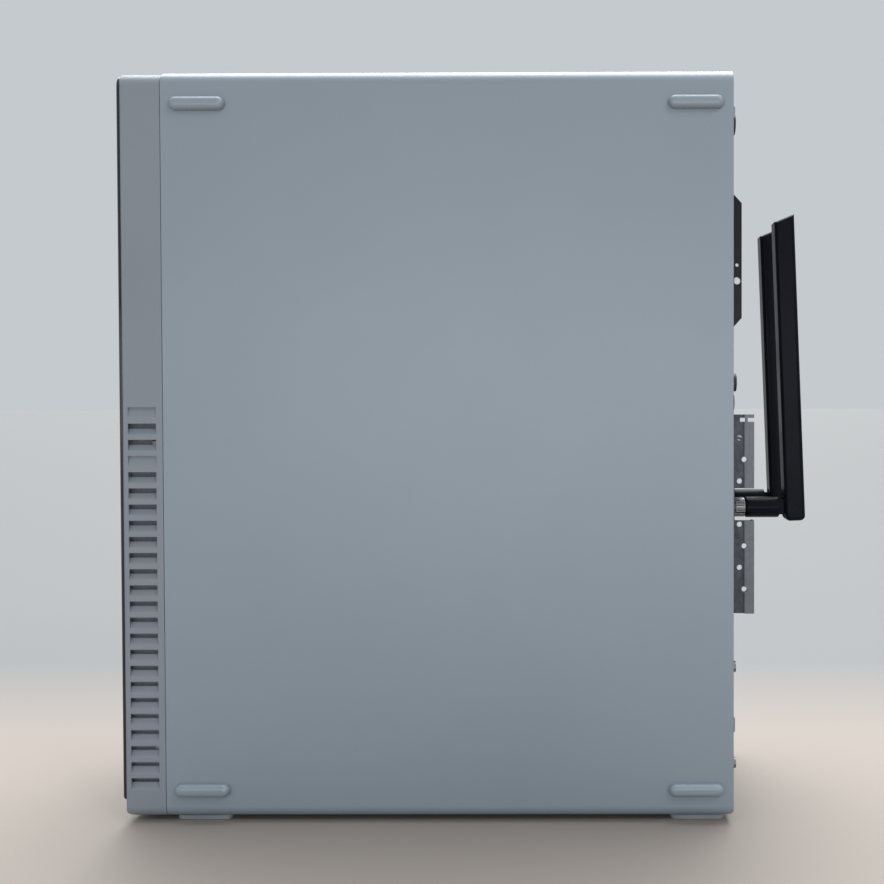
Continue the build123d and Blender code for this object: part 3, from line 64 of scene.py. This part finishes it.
def spread(tree, value, low, high, from_low=0.3, from_high=0.7):
    remap = tree.nodes.new("ShaderNodeMapRange")
    remap.inputs["From Min"].default_value = from_low
    remap.inputs["From Max"].default_value = from_high
    remap.inputs["To Min"].default_value = low
    remap.inputs["To Max"].default_value = high
    tree.links.new(value, remap.inputs["Value"])
    return remap.outputs["Result"]


def mixed(tree, factor, first, second):
    """Mix of two colours; each is a plain colour or a socket."""
    mix = tree.nodes.new("ShaderNodeMix")
    mix.data_type = "RGBA"
    tree.links.new(factor, mix.inputs["Factor"])
    for socket, value in ((mix.inputs["A"], first), (mix.inputs["B"], second)):
        if isinstance(value, bpy.types.NodeSocket):
            tree.links.new(value, socket)
        else:
            socket.default_value = (*value, 1)
    return mix.outputs["Result"]


# The cosine between the rounded and the flat normal, from a sharp edge to open sheet.
EDGE_COSINE = (0.75, 0.97)
EDGE_SAMPLES = 4
RUB_SCALE = 900
RUB_LEAST = 0.3


def edge_mask(tree, place, width, amount):
    """How worn each spot is: up to amount on sharp edges, broken up by a fine noise."""
    bevel = tree.nodes.new("ShaderNodeBevel")
    bevel.samples = EDGE_SAMPLES
    bevel.inputs["Radius"].default_value = width
    geometry = tree.nodes.new("ShaderNodeNewGeometry")
    dot = tree.nodes.new("ShaderNodeVectorMath")
    dot.operation = "DOT_PRODUCT"
    tree.links.new(bevel.outputs["Normal"], dot.inputs[0])
    tree.links.new(geometry.outputs["Normal"], dot.inputs[1])
    turned = spread(tree, dot.outputs["Value"], amount, 0.0, *EDGE_COSINE)
    broken = spread(tree, noise(tree, place, RUB_SCALE, 3), RUB_LEAST, 1.0)
    product = tree.nodes.new("ShaderNodeMath")
    product.operation = "MULTIPLY"
    tree.links.new(turned, product.inputs[0])
    tree.links.new(broken, product.inputs[1])
    return product.outputs["Value"], bevel.outputs["Normal"]


def bumped(tree, bsdf, height, strength, distance, normal=None):
    bump = tree.nodes.new("ShaderNodeBump")
    bump.inputs["Strength"].default_value = strength
    bump.inputs["Distance"].default_value = distance
    tree.links.new(height, bump.inputs["Height"])
    if normal is not None:
        tree.links.new(normal, bump.inputs["Normal"])
    tree.links.new(bump.outputs["Normal"], bsdf.inputs["Normal"])


def tones(colour, share):
    """The colour made lighter by a share of itself, or darker if the share is negative."""
    return [min(1.0, c * (1 + share)) for c in colour]


CRYSTAL_SIZE = 0.004
CRYSTAL_TONE = (-0.14, 0.1)
CRYSTAL_GLOSS = 0.09
SHEAR_EDGE = 0.0003
SHEAR_WEAR = 0.7
SHEARED_ZINC = (0.85, 0.86, 0.87)
SKIN_SCALE = 1400
SKIN_BUMP = 0.12
SKIN_DEPTH = 0.00002


def spangled(name, colour, rough, metal):
    """Zinc-coated sheet: flat crystals, each a little lighter or darker than the next."""
    material, tree, bsdf, place = shader(name)
    crystals = tree.nodes.new("ShaderNodeTexVoronoi")
    crystals.inputs["Scale"].default_value = 1 / CRYSTAL_SIZE
    tree.links.new(place, crystals.inputs["Vector"])
    tone = tree.nodes.new("ShaderNodeRGBToBW")
    tree.links.new(crystals.outputs["Color"], tone.inputs["Color"])
    dark, light = (tones(colour, share) for share in CRYSTAL_TONE)
    base = mixed(tree, tone.outputs["Val"], dark, light)
    rim, round_normal = edge_mask(tree, place, SHEAR_EDGE, SHEAR_WEAR)
    tree.links.new(mixed(tree, rim, base, SHEARED_ZINC), bsdf.inputs["Base Color"])
    gloss = spread(
        tree, tone.outputs["Val"], rough - CRYSTAL_GLOSS, rough + CRYSTAL_GLOSS, 0, 1
    )
    tree.links.new(gloss, bsdf.inputs["Roughness"])
    bsdf.inputs["Metallic"].default_value = metal
    skin = noise(tree, place, SKIN_SCALE, 3)
    bumped(tree, bsdf, skin, SKIN_BUMP, SKIN_DEPTH, round_normal)
    return material


def finish(node, material):
    """Puts a material on every slot of a CAD node."""
    for slot in NODES[node].material_slots:
        slot.material = material


zinc = spangled("zinc_coated_sheet", (0.50, 0.52, 0.54), rough=0.42, metal=0.85)
for node in ("chassis_tray", "rear_panel", "front_frame", "drive_cage", "psu_case", "slot_latch"):
    finish(node, zinc)

# Main board and the small boards: green glass-fibre laminate with copper tracks under the solder
# mask, held on brass standoffs. The tracks run square to the board's edges and show as slightly
# lighter lines.
TRACK_PITCH = 0.0012
# The wave texture's bands are this far apart at a scale of one.
BAND_SPACING = 0.31
TRACK_SHARPNESS = (0.72, 0.8)
# The wave's axis and its phase, for the tracks that run each way.
TRACK_RUNS = (("Y", 0.0), ("Z", 0.37))
TRACK_AREAS_PER_METRE = 70
TRACK_AREA_SPLIT = (0.49, 0.51)
TRACK_RELIEF = 0.2
TRACK_HEIGHT = 0.00003
MASK_GLOSS = (0.28, 0.4)


def circuit(name, mask, track):
    material, tree, bsdf, place = shader(name)
    rows = []
    for axis, phase in TRACK_RUNS:
        wave = tree.nodes.new("ShaderNodeTexWave")
        wave.bands_direction = axis
        wave.inputs["Scale"].default_value = BAND_SPACING / TRACK_PITCH
        wave.inputs["Distortion"].default_value = 0.0
        wave.inputs["Phase Offset"].default_value = phase
        tree.links.new(place, wave.inputs["Vector"])
        rows.append(spread(tree, wave.outputs["Fac"], 0.0, 1.0, *TRACK_SHARPNESS))
    areas = tree.nodes.new("ShaderNodeTexVoronoi")
    areas.distance = "CHEBYCHEV"
    areas.inputs["Scale"].default_value = TRACK_AREAS_PER_METRE
    tree.links.new(place, areas.inputs["Vector"])
    tone = tree.nodes.new("ShaderNodeRGBToBW")
    tree.links.new(areas.outputs["Color"], tone.inputs["Color"])
    choose = spread(tree, tone.outputs["Val"], 0.0, 1.0, *TRACK_AREA_SPLIT)
    lines = tree.nodes.new("ShaderNodeMix")
    tree.links.new(choose, lines.inputs["Factor"])
    tree.links.new(rows[0], lines.inputs["A"])
    tree.links.new(rows[1], lines.inputs["B"])
    tree.links.new(mixed(tree, lines.outputs["Result"], mask, track), bsdf.inputs["Base Color"])
    gloss = spread(tree, tone.outputs["Val"], *MASK_GLOSS, 0, 1)
    tree.links.new(gloss, bsdf.inputs["Roughness"])
    bumped(tree, bsdf, lines.outputs["Result"], TRACK_RELIEF, TRACK_HEIGHT)
    return material


GLOSS_SWING = 0.07
WORN_TONE = 0.6


def surface(name, colour, rough, metal=0.0, mottle=0.06, patch=60, grain=2500, bump=0.15,
            depth=0.00003, stretch=(1, 1, 1), wear=0.5, worn=None, edge=0.0004, sheen=0.5):
    """A finish with tone patches, a fine grain in relief and gloss, and lightly worn edges."""
    material, tree, bsdf, place = shader(name)
    patches = spread(tree, noise(tree, place, patch, 4), 0.0, 1.0)
    base = mixed(tree, patches, tones(colour, -mottle), tones(colour, mottle))
    rim, round_normal = edge_mask(tree, place, edge, wear)
    worn = worn or tones(colour, WORN_TONE)
    tree.links.new(mixed(tree, rim, base, worn), bsdf.inputs["Base Color"])
    fine = noise(tree, place, grain, 3, stretch)
    gloss = spread(tree, fine, rough - GLOSS_SWING, rough + GLOSS_SWING)
    tree.links.new(gloss, bsdf.inputs["Roughness"])
    bsdf.inputs["Metallic"].default_value = metal
    bsdf.inputs["Specular IOR Level"].default_value = sheen
    bumped(tree, bsdf, fine, bump, depth, round_normal)
    return material


laminate = circuit("board_laminate", mask=(0.008, 0.05, 0.032), track=(0.02, 0.11, 0.065))
for node in ("motherboard", "wifi_card", "memory_modules", "psu_board", "front_io_board"):
    finish(node, laminate)
brass = surface("turned_brass", (0.62, 0.46, 0.2), 0.3, metal=1.0, mottle=0.1, wear=0.3)
for node in ("board_fixings", "antenna_jacks"):
    finish(node, brass)

# Small board parts: chips, chokes and surface-mounted resistors soldered in rows on the board's
# face. Each is a low block with softened edges, black or ceramic beige, standing on the laminate.


def new_piece(name, mesh, material, body):
    mesh.materials.append(material)
    piece = bpy.data.objects.new(name, mesh)
    bpy.context.collection.objects.link(piece)
    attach(piece, body)


def add_block(mesh, low, high, soften):
    """A block between two corners with its edges rounded by soften."""
    made = bmesh.ops.create_cube(mesh, size=1.0)
    centre = (Vector(low) + Vector(high)) / 2
    size = Vector(high) - Vector(low)
    for vertex in made["verts"]:
        vertex.co = Vector(c * s for c, s in zip(vertex.co, size)) + centre
    edges = {edge for vertex in made["verts"] for edge in vertex.link_edges}
    bmesh.ops.bevel(
        mesh, geom=list(edges), offset=soften, segments=2, profile=0.5, affect="EDGES"
    )


def blocks_piece(name, boxes, soften, material, body):
    shape = bmesh.new()
    for low, high in boxes:
        add_block(shape, low, high, soften)
    mesh = bpy.data.meshes.new(name)
    shape.to_mesh(mesh)
    shape.free()
    new_piece(name, mesh, material, body)


board_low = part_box("motherboard")[0]
FACE_X = board_low.x
epoxy = surface(
    "chip_epoxy", (0.02, 0.02, 0.022), 0.42, mottle=0.2, grain=4000, bump=0.2, wear=0.3,
    worn=(0.08, 0.08, 0.08), edge=0.0002,
)
ceramic = surface(
    "chip_ceramic", (0.34, 0.25, 0.16), 0.4, mottle=0.15, patch=400, grain=4000, wear=0.4,
    worn=(0.7, 0.7, 0.68), edge=0.0002,
)
SOLDER_GAP = 0.00005
CHIP_SOFTEN = 0.0003
# Upright rows of chips: start Y, height on the board, count, pitch, width, height, thickness.
CHIP_ROWS = (
    (-0.066, 0.1065, 9, 0.0076, 0.0042, 0.0030, 0.0012),
    (-0.060, 0.1425, 6, 0.0110, 0.0070, 0.0070, 0.0014),
    (-0.004, 0.0225, 7, 0.0066, 0.0040, 0.0050, 0.0012),
    (-0.008, 0.0605, 5, 0.0090, 0.0060, 0.0060, 0.0014),
)
CHOKE_COUNT = 6
CHOKE_PITCH = 0.014
CHOKE_START_Y = -0.006
CHOKE_RISE = 0.1955
CHOKE_THICK = 0.006
CHOKE_SIDE = 0.0092
chips = []
for y, rise, count, pitch, wide, tall, thick in CHIP_ROWS:
    for k in range(count):
        low = Vector((FACE_X - thick, y, board_low.z + rise + k * pitch))
        chips.append((low, low + Vector((thick - SOLDER_GAP, wide, tall))))
for k in range(CHOKE_COUNT):
    low = Vector(
        (FACE_X - CHOKE_THICK, CHOKE_START_Y + k * CHOKE_PITCH, board_low.z + CHOKE_RISE)
    )
    chips.append((low, low + Vector((CHOKE_THICK - SOLDER_GAP, CHOKE_SIDE, CHOKE_SIDE))))
blocks_piece("board_chips", chips, CHIP_SOFTEN, epoxy, "case")
# Patches of resistors: start Y, height on the board, columns, rows.
RESISTOR_GRIDS = ((-0.050, 0.0605, 12, 7), (0.066, 0.1065, 8, 5), (-0.045, 0.1725, 6, 14),
                  (0.004, 0.0365, 10, 3))
RESISTOR_SIZE = (0.0008, 0.0014, 0.0008)
RESISTOR_STEP = (0.0026, 0.0034)
RESISTOR_SOFTEN = 0.00012
resistors = []
for y, rise, across_count, up_count in RESISTOR_GRIDS:
    for i in range(across_count):
        for j in range(up_count):
            # Every fourth place along a slant is left empty, as on a real layout.
            if (i * 7 + j * 5) % 4 == 0:
                continue
            low = Vector((
                FACE_X - RESISTOR_SIZE[0], y + i * RESISTOR_STEP[0],
                board_low.z + rise + j * RESISTOR_STEP[1],
            ))
            high = low + Vector(RESISTOR_SIZE) - Vector((SOLDER_GAP, 0, 0))
            resistors.append((low, high))
blocks_piece(
    "board_resistors", resistors, RESISTOR_SOFTEN, ceramic, "case"
)

# Memory chips: eight black epoxy packages soldered in a row on each face of each module, above
# the edge that sits in the socket.
memory_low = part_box("memory_modules")[0]
MODULE_Y = (-0.0200, -0.0105)
MODULE_SKIN = 0.00062
MEMORY_CHIP_COUNT = 8
MEMORY_CHIP_X = (0.0119, 0.0241)
MEMORY_CHIP_RISE = 0.0036
MEMORY_CHIP_PITCH = 0.016
MEMORY_CHIP_TALL = 0.0117
MEMORY_CHIP_FACE = (0.0018, 0.0016)
MEMORY_CHIP_SOFTEN = 0.0002
memory_chips = []
for y in MODULE_Y:
    for k in range(MEMORY_CHIP_COUNT):
        low_z = memory_low.z + MEMORY_CHIP_RISE + k * MEMORY_CHIP_PITCH
        high_z = low_z + MEMORY_CHIP_TALL
        memory_chips.append((
            (MEMORY_CHIP_X[0], y + MODULE_SKIN, low_z),
            (MEMORY_CHIP_X[1], y + MEMORY_CHIP_FACE[0], high_z),
        ))
        memory_chips.append((
            (MEMORY_CHIP_X[0], y - MEMORY_CHIP_FACE[1], low_z),
            (MEMORY_CHIP_X[1], y - MODULE_SKIN, high_z),
        ))
blocks_piece(
    "memory_chips", memory_chips, MEMORY_CHIP_SOFTEN, epoxy, "case"
)

# Drive labels: plain paper stickers, a hand's width long, laid in the shallow recess of each
# drive's lid.
paper = surface(
    "plain_paper", (0.72, 0.73, 0.72), 0.6, mottle=0.03, grain=1800, bump=0.2, wear=0.0,
)
LABEL_X = (0.00045, 0.00075)
LABEL_MARGIN_Y = 0.016
LABEL_Z = (0.018, 0.062)
LABEL_SOFTEN = 0.00005
for which in ("left", "right"):
    low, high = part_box(f"hard_drive_{which}")
    blocks_piece(
        f"drive_label_{which}",
        [((low.x + LABEL_X[0], low.y + LABEL_MARGIN_Y, low.z + LABEL_Z[0]),
          (low.x + LABEL_X[1], high.y - LABEL_MARGIN_Y, low.z + LABEL_Z[1]))],
        LABEL_SOFTEN, paper, "case",
    )

# Moulded parts on the board: memory and card sockets, plug headers and capacitors, all in black
# glass-filled nylon with a fine matt grain.
nylon = surface(
    "black_nylon", (0.018, 0.018, 0.02), 0.5, mottle=0.25, grain=3000, bump=0.3, wear=0.6,
    worn=(0.09, 0.09, 0.095),
)
for node in ("board_sockets", "board_components"):
    finish(node, nylon)

# Processor and cooling: a nickel-plated lid under an extruded aluminium sink whose fins carry
# the fine lines of the die along their length.
nickel = surface(
    "nickel_plate", (0.66, 0.65, 0.63), 0.24, metal=1.0, mottle=0.05, patch=200, stretch=(1, 8, 1),
    wear=0.4, worn=(0.85, 0.84, 0.82),
)
extruded = surface(
    "extruded_aluminium", (0.62, 0.63, 0.65), 0.36, metal=1.0, mottle=0.05, stretch=(1, 6, 0.2),
    bump=0.3, wear=0.5, worn=(0.9, 0.9, 0.91),
)
finish("processor", nickel)
for node in ("cpu_heatsink", "chipset_heatsink"):
    finish(node, extruded)

# Sockets: plated steel shells for the flat and square ones and black mouldings for the round
# ones, the front ports and the mains inlet. The shield, slot covers and card bracket around
# them are stamped from thin bright steel.
for node in ("rear_usb_ports", "network_port", "display_ports", "psu_fan_grille"):
    finish(node, nickel)
for node in ("keyboard_port", "audio_jacks", "front_port_block", "mains_inlet", "psu_switch_frame"):
    finish(node, nylon)
stamped = surface(
    "stamped_shield", (0.63, 0.64, 0.65), 0.34, metal=0.95, mottle=0.05, patch=90,
    stretch=(12, 1, 1), bump=0.2, wear=0.5, worn=(0.9, 0.9, 0.9), edge=0.0002,
)
for node in ("io_shield", "slot_covers", "wifi_bracket"):
    finish(node, stamped)

# Slot bay: a pierced steel bump-out around the card brackets, phosphated a dark blue-grey. The rib
# folded along its outer edge is painted a lighter blue-grey, a painted highlight for the light it
# catches over the darker wall.
BAY_RIB_WIDTH = 0.0046
RIB_BLEND = 0.0003
CLOUD_SCALE = 420
CLOUD_TONE = (-0.4, 0.35)
RIB_TONE = (-0.1, 0.1)
PHOSPHATE_EDGE = 0.0003
PHOSPHATE_WEAR = 0.7
PHOSPHATE_WORN = (0.4, 0.42, 0.45)
PHOSPHATE_GRAIN = 1600
PHOSPHATE_GLOSS = (0.36, 0.5)
PHOSPHATE_BUMP = 0.3
PHOSPHATE_DEPTH = 0.00003


def phosphated_sheet(name, dark, rib_highlight, metal, rib_start):
    material, tree, bsdf, place = shader(name)
    cloud = spread(tree, noise(tree, place, CLOUD_SCALE, 5), 0.0, 1.0)
    body = mixed(tree, cloud, *(tones(dark, share) for share in CLOUD_TONE))
    # The rib's lighter colour is a painted highlight, not the sheet's own tone.
    rib = mixed(tree, cloud, *(tones(rib_highlight, share) for share in RIB_TONE))
    axis = tree.nodes.new("ShaderNodeSeparateXYZ")
    tree.links.new(place, axis.inputs["Vector"])
    on_rib = spread(
        tree, axis.outputs["Y"], 0.0, 1.0, rib_start - RIB_BLEND, rib_start + RIB_BLEND
    )
    base = mixed(tree, on_rib, body, rib)
    rim, round_normal = edge_mask(tree, place, PHOSPHATE_EDGE, PHOSPHATE_WEAR)
    tree.links.new(mixed(tree, rim, base, PHOSPHATE_WORN), bsdf.inputs["Base Color"])
    grain = noise(tree, place, PHOSPHATE_GRAIN, 3)
    tree.links.new(spread(tree, grain, *PHOSPHATE_GLOSS), bsdf.inputs["Roughness"])
    bsdf.inputs["Metallic"].default_value = metal
    bumped(tree, bsdf, grain, PHOSPHATE_BUMP, PHOSPHATE_DEPTH, round_normal)
    return material


bay_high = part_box("slot_bay")[1]
# The second, lighter colour is the rib's painted highlight over the dark wall.
phosphated = phosphated_sheet(
    "phosphated_steel", dark=(0.045, 0.055, 0.068), rib_highlight=(0.125, 0.14, 0.16), metal=0.35,
    rib_start=bay_high.y - BAY_RIB_WIDTH,
)
finish("slot_bay", phosphated)

# Fans: frames and rotors moulded in black glass-filled plastic with a satin skin. Each frame is
# screwed down by its corners and each rotor spins on a pin.
fan_black = surface(
    "fan_moulding", (0.014, 0.014, 0.016), 0.34, mottle=0.3, grain=1200, bump=0.15, wear=0.4,
    worn=(0.07, 0.07, 0.075),
)
for node in ("system_fan_frame", "system_fan_rotor", "cpu_fan_frame", "cpu_fan_rotor",
             "psu_fan_frame", "psu_fan_rotor"):
    finish(node, fan_black)

# Drives: cast aluminium bodies with a slightly pitted skin, each with its own circuit board
# screwed to one face.
cast = surface(
    "cast_drive_body", (0.36, 0.37, 0.39), 0.45, metal=0.8, mottle=0.08, grain=900, bump=0.35,
    depth=0.00006, wear=0.6, worn=(0.75, 0.76, 0.77),
)
for node in ("hard_drive_left", "hard_drive_right"):
    finish(node, cast)

# Screws: zinc-plated cross-headed steel screws, dulled on the head and bright on the rims where
# the driver has rubbed them.
plated = surface(
    "plated_screws", (0.20, 0.205, 0.21), 0.36, metal=0.9, mottle=0.1, wear=0.7,
    worn=(0.5, 0.5, 0.5), edge=0.0002,
)
for node in ("rear_screws", "drive_screws"):
    finish(node, plated)

# Painted case: the folded shell and the lift-off cover are steel with a silver-grey powder coat,
# a low even sheen and an orange-peel texture too fine to see from a metre away.
coat = surface(
    "silver_powder_coat", (0.236, 0.285, 0.331), 0.42, metal=0.2, mottle=0.025, patch=9,
    grain=1800, bump=0.10, depth=0.00004, wear=0.25, worn=(0.5, 0.54, 0.58), edge=0.0003,
)
for node in ("outer_shell", "left_cover"):
    finish(node, coat)

# Bezel: a moulded plastic front with louvred sides, painted to match the case but a shade greyer
# and flatter. Six hooks on its back snap into the front frame.
bezel_paint = surface(
    "painted_bezel", (0.209, 0.241, 0.277), 0.48, metal=0.1, mottle=0.03, patch=14, grain=2600,
    bump=0.12, depth=0.00003, wear=0.3, worn=(0.42, 0.44, 0.46), edge=0.0004,
)
finish("front_bezel", bezel_paint)

# Louvre screens: a strip of grey woven mesh stands just behind each column of louvres to keep dust
# out. Its dark grey is painted shade, standing in for the shade inside the louvre openings. Each is
# cut from nylon cloth, notched around the bezel's hooks and glued by its edges.
# The cloth's dark grey is painted shade for the louvre openings.
shade_toned_cloth = surface(
    "shade_toned_cloth", (0.11, 0.12, 0.135), 0.8, mottle=0.15, patch=900, grain=3500, bump=0.5,
    wear=0.0,
)
bezel_low, bezel_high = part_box("front_bezel")
SCREEN_INSET = 0.0033
SCREEN_THICK = 0.0005
SCREEN_START = 0.0026
SCREEN_HOOK_Y = 0.0122
SCREEN_END = 0.0166
SCREEN_LENGTH = (0.014, 0.193)
SCREEN_SOFTEN = 0.0001
# The stretches between the hooks, where the strip is full width.
SCREEN_SPANS = ((0.014, 0.0285), (0.0355, 0.1685), (0.1755, 0.193))
screen_y = [bezel_low.y + start for start in (SCREEN_START, SCREEN_HOOK_Y, SCREEN_END)]
screens = []
for inner_x in (bezel_low.x + SCREEN_INSET, bezel_high.x - SCREEN_INSET - SCREEN_THICK):
    outer_x = inner_x + SCREEN_THICK
    screens.append((
        (inner_x, screen_y[0], SCREEN_LENGTH[0]), (outer_x, screen_y[1], SCREEN_LENGTH[1])
    ))
    for bottom_z, top_z in SCREEN_SPANS:
        screens.append(((inner_x, screen_y[1], bottom_z), (outer_x, screen_y[2], top_z)))
blocks_piece(
    "louvre_screens", screens, SCREEN_SOFTEN, shade_toned_cloth, "case"
)

# Fascia: a thin smoked acrylic sheet stuck on the bezel's face, glossy, with a few faint wiping
# marks.
smoked = surface(
    "smoked_acrylic", (0.012, 0.012, 0.014), 0.12, mottle=0.2, patch=20, grain=60, bump=0.02,
    wear=0.5, worn=(0.08, 0.08, 0.09), edge=0.0003,
)
finish("front_fascia", smoked)

# Power button and light guides: a turned aluminium cap with a spun finish, inside a milky
# moulded ring that carries light from the small board behind it.
finish("power_button", extruded)
milky = surface(
    "milky_guide", (0.72, 0.78, 0.82), 0.3, mottle=0.03, grain=500, bump=0.03, wear=0.1,
    worn=(0.9, 0.95, 1.0),
)
finish("light_guides", milky)

# Dust filter: a fine black moulded grid in front of the intake fan, clipped in from the front
# and washed out from time to time.
finish("dust_filter", nylon)

# Feet: soft grey rubber pads under the base, and hard oval pads on the side in the case's paint,
# pressed into the sheet so that the case can also lie flat.
finish("side_feet", coat)
rubber = surface(
    "grey_rubber", (0.22, 0.24, 0.26), 0.7, mottle=0.15, grain=1500, bump=0.4, wear=0.3,
    worn=(0.2, 0.2, 0.2),
)
finish("base_feet", rubber)

# Black hardware: the anchor bracket and the thumbscrews are steel with a satin black coat. The
# mains switch has a rocker moulded in the fans' black plastic.
black_coat = surface(
    "black_coat", (0.006, 0.006, 0.008), 0.36, mottle=0.2, grain=2200, bump=0.2, wear=0.5,
    worn=(0.16, 0.16, 0.17), edge=0.0003, sheen=0.2,
)
for node in ("lock_bracket", "thumbscrew_upper", "thumbscrew_lower"):
    finish(node, black_coat)
finish("psu_switch_rocker", fan_black)

# Antennas: black moulded paddles and barrels with a satin skin, hinged together. Each barrel is
# held on its jack by a knurled nut plated in black nickel.
antenna_black = surface(
    "antenna_moulding", (0.004, 0.005, 0.009), 0.3, mottle=0.2, patch=40, grain=2600, bump=0.22,
    wear=0.25, worn=(0.03, 0.035, 0.045), edge=0.0006, sheen=0.07,
)
black_nickel = surface(
    "black_nickel", (0.20, 0.20, 0.21), 0.2, metal=1.0, mottle=0.1, patch=200, wear=0.4,
    worn=(0.7, 0.7, 0.7), edge=0.0002,
)
for which in ("near", "far"):
    finish(f"{which}_antenna_base", antenna_black)
    finish(f"{which}_antenna_blade", antenna_black)
    finish(f"{which}_antenna_nut", black_nickel)

# Studio: one pale floor, warm around the case and cooler behind it, lit by a wide soft source
# overhead and a little behind, with weaker soft lights from the viewer's side, high and low.
FLOOR_HALF = 30.0
FLOOR_FAR_X = -0.139
FLOOR_BLEND = (0.09, 0.06)
FLOOR_ROUGHNESS = 0.6
FLOOR_GRAIN = 300
FLOOR_BUMP = 0.05
FLOOR_DEPTH = 0.0001
warm_floor = (0.285, 0.255, 0.230)
cool_floor = (0.190, 0.198, 0.205)
floor_finish, floor_tree, floor_shader, floor_place = shader("floor")
floor_axis = floor_tree.nodes.new("ShaderNodeSeparateXYZ")
floor_tree.links.new(floor_place, floor_axis.inputs["Vector"])
far_share = spread(
    floor_tree, floor_axis.outputs["X"], 1.0, 0.0,
    FLOOR_FAR_X - FLOOR_BLEND[0], FLOOR_FAR_X + FLOOR_BLEND[1],
)
floor_tree.links.new(
    mixed(floor_tree, far_share, warm_floor, cool_floor), floor_shader.inputs["Base Color"]
)
floor_shader.inputs["Roughness"].default_value = FLOOR_ROUGHNESS
floor_grain = noise(floor_tree, floor_place, FLOOR_GRAIN, 3)
bumped(floor_tree, floor_shader, floor_grain, FLOOR_BUMP, FLOOR_DEPTH)
floor_mesh = bpy.data.meshes.new("floor")
floor_corners = [
    (x * FLOOR_HALF, y * FLOOR_HALF, 0) for x, y in ((-1, -1), (1, -1), (1, 1), (-1, 1))
]
floor_mesh.from_pydata(floor_corners, [], [(0, 1, 2, 3)])
floor_mesh.materials.append(floor_finish)
floor = bpy.data.objects.new("floor", floor_mesh)
bpy.context.collection.objects.link(floor)


def soft_light(name, place, target, size, power, colour):
    lamp = bpy.data.lights.new(name, "AREA")
    lamp.shape = "RECTANGLE"
    lamp.size, lamp.size_y = size
    lamp.energy = power
    lamp.color = colour
    light = bpy.data.objects.new(name, lamp)
    bpy.context.collection.objects.link(light)
    light.location = place
    light.visible_camera = False
    aim = Vector(target) - Vector(place)
    light.rotation_euler = aim.to_track_quat("-Z", "Y").to_euler()


OVERHEAD_STRENGTH = 5.4
OVERHEAD_WIDTH = math.radians(60)
OVERHEAD_COLOUR = (1.0, 0.98, 0.96)
# From behind the case, down and towards the viewer.
OVERHEAD_AIM = Vector((0.40, 0, -1))
overhead = bpy.data.lights.new("overhead", "SUN")
overhead.energy = OVERHEAD_STRENGTH
overhead.angle = OVERHEAD_WIDTH
overhead.color = OVERHEAD_COLOUR
overhead_light = bpy.data.objects.new("overhead", overhead)
bpy.context.collection.objects.link(overhead_light)
overhead_light.rotation_euler = OVERHEAD_AIM.to_track_quat("-Z", "Y").to_euler()
soft_light(
    "key", place=(1.2, 1.1, 1.5), target=(0, 0, 0.17), size=(0.5, 0.5), power=8,
    colour=(1.0, 0.99, 0.97),
)
soft_light(
    "viewer_fill", place=(2.6, -0.2, 0.25), target=(0, 0, 0.1), size=(2.4, 0.4), power=3,
    colour=(0.96, 0.98, 1.0),
)
soft_light(
    "low_fill", place=(1.7, 0.0, 0.22), target=(0, 0, 0.04), size=(1.6, 0.3), power=4.8,
    colour=(0.97, 0.98, 1.0),
)
ROOM_COLOUR = (0.90, 0.95, 1.0, 1)
ROOM_STRENGTH = 0.62
world = bpy.data.worlds.new("room")
world.use_nodes = True
room = world.node_tree.nodes["Background"]
room.inputs["Color"].default_value = ROOM_COLOUR
room.inputs["Strength"].default_value = ROOM_STRENGTH
bpy.context.scene.world = world
bpy.context.scene.view_settings.view_transform = "Standard"

# Camera: close to the case's plain side, just above mid height and nearer the rear, looking
# almost square at the panel, so that the antennas show past the rear edge.
CAMERA_PLACE = (0.4985, 0.0572, 0.192)
CAMERA_LENS = 40.37
CAMERA_SENSOR = 36
CAMERA_SHIFT = (-0.1652, -0.0247)
CAMERA_PITCH = math.radians(1.0)
CAMERA_ROLL = math.radians(-0.14)
CAMERA_YAW = math.radians(90.23)
camera_data = bpy.data.cameras.new("camera")
camera_data.lens = CAMERA_LENS
camera_data.sensor_width = CAMERA_SENSOR
camera_data.shift_x, camera_data.shift_y = CAMERA_SHIFT
camera = bpy.data.objects.new("camera", camera_data)
bpy.context.collection.objects.link(camera)
camera.location = CAMERA_PLACE
camera_turn = (
    Matrix.Rotation(CAMERA_YAW, 3, "Z")
    @ Matrix.Rotation(math.pi / 2 - CAMERA_PITCH, 3, "X")
    @ Matrix.Rotation(CAMERA_ROLL, 3, "Z")
)
camera.rotation_euler = camera_turn.to_euler()
bpy.context.scene.camera = camera
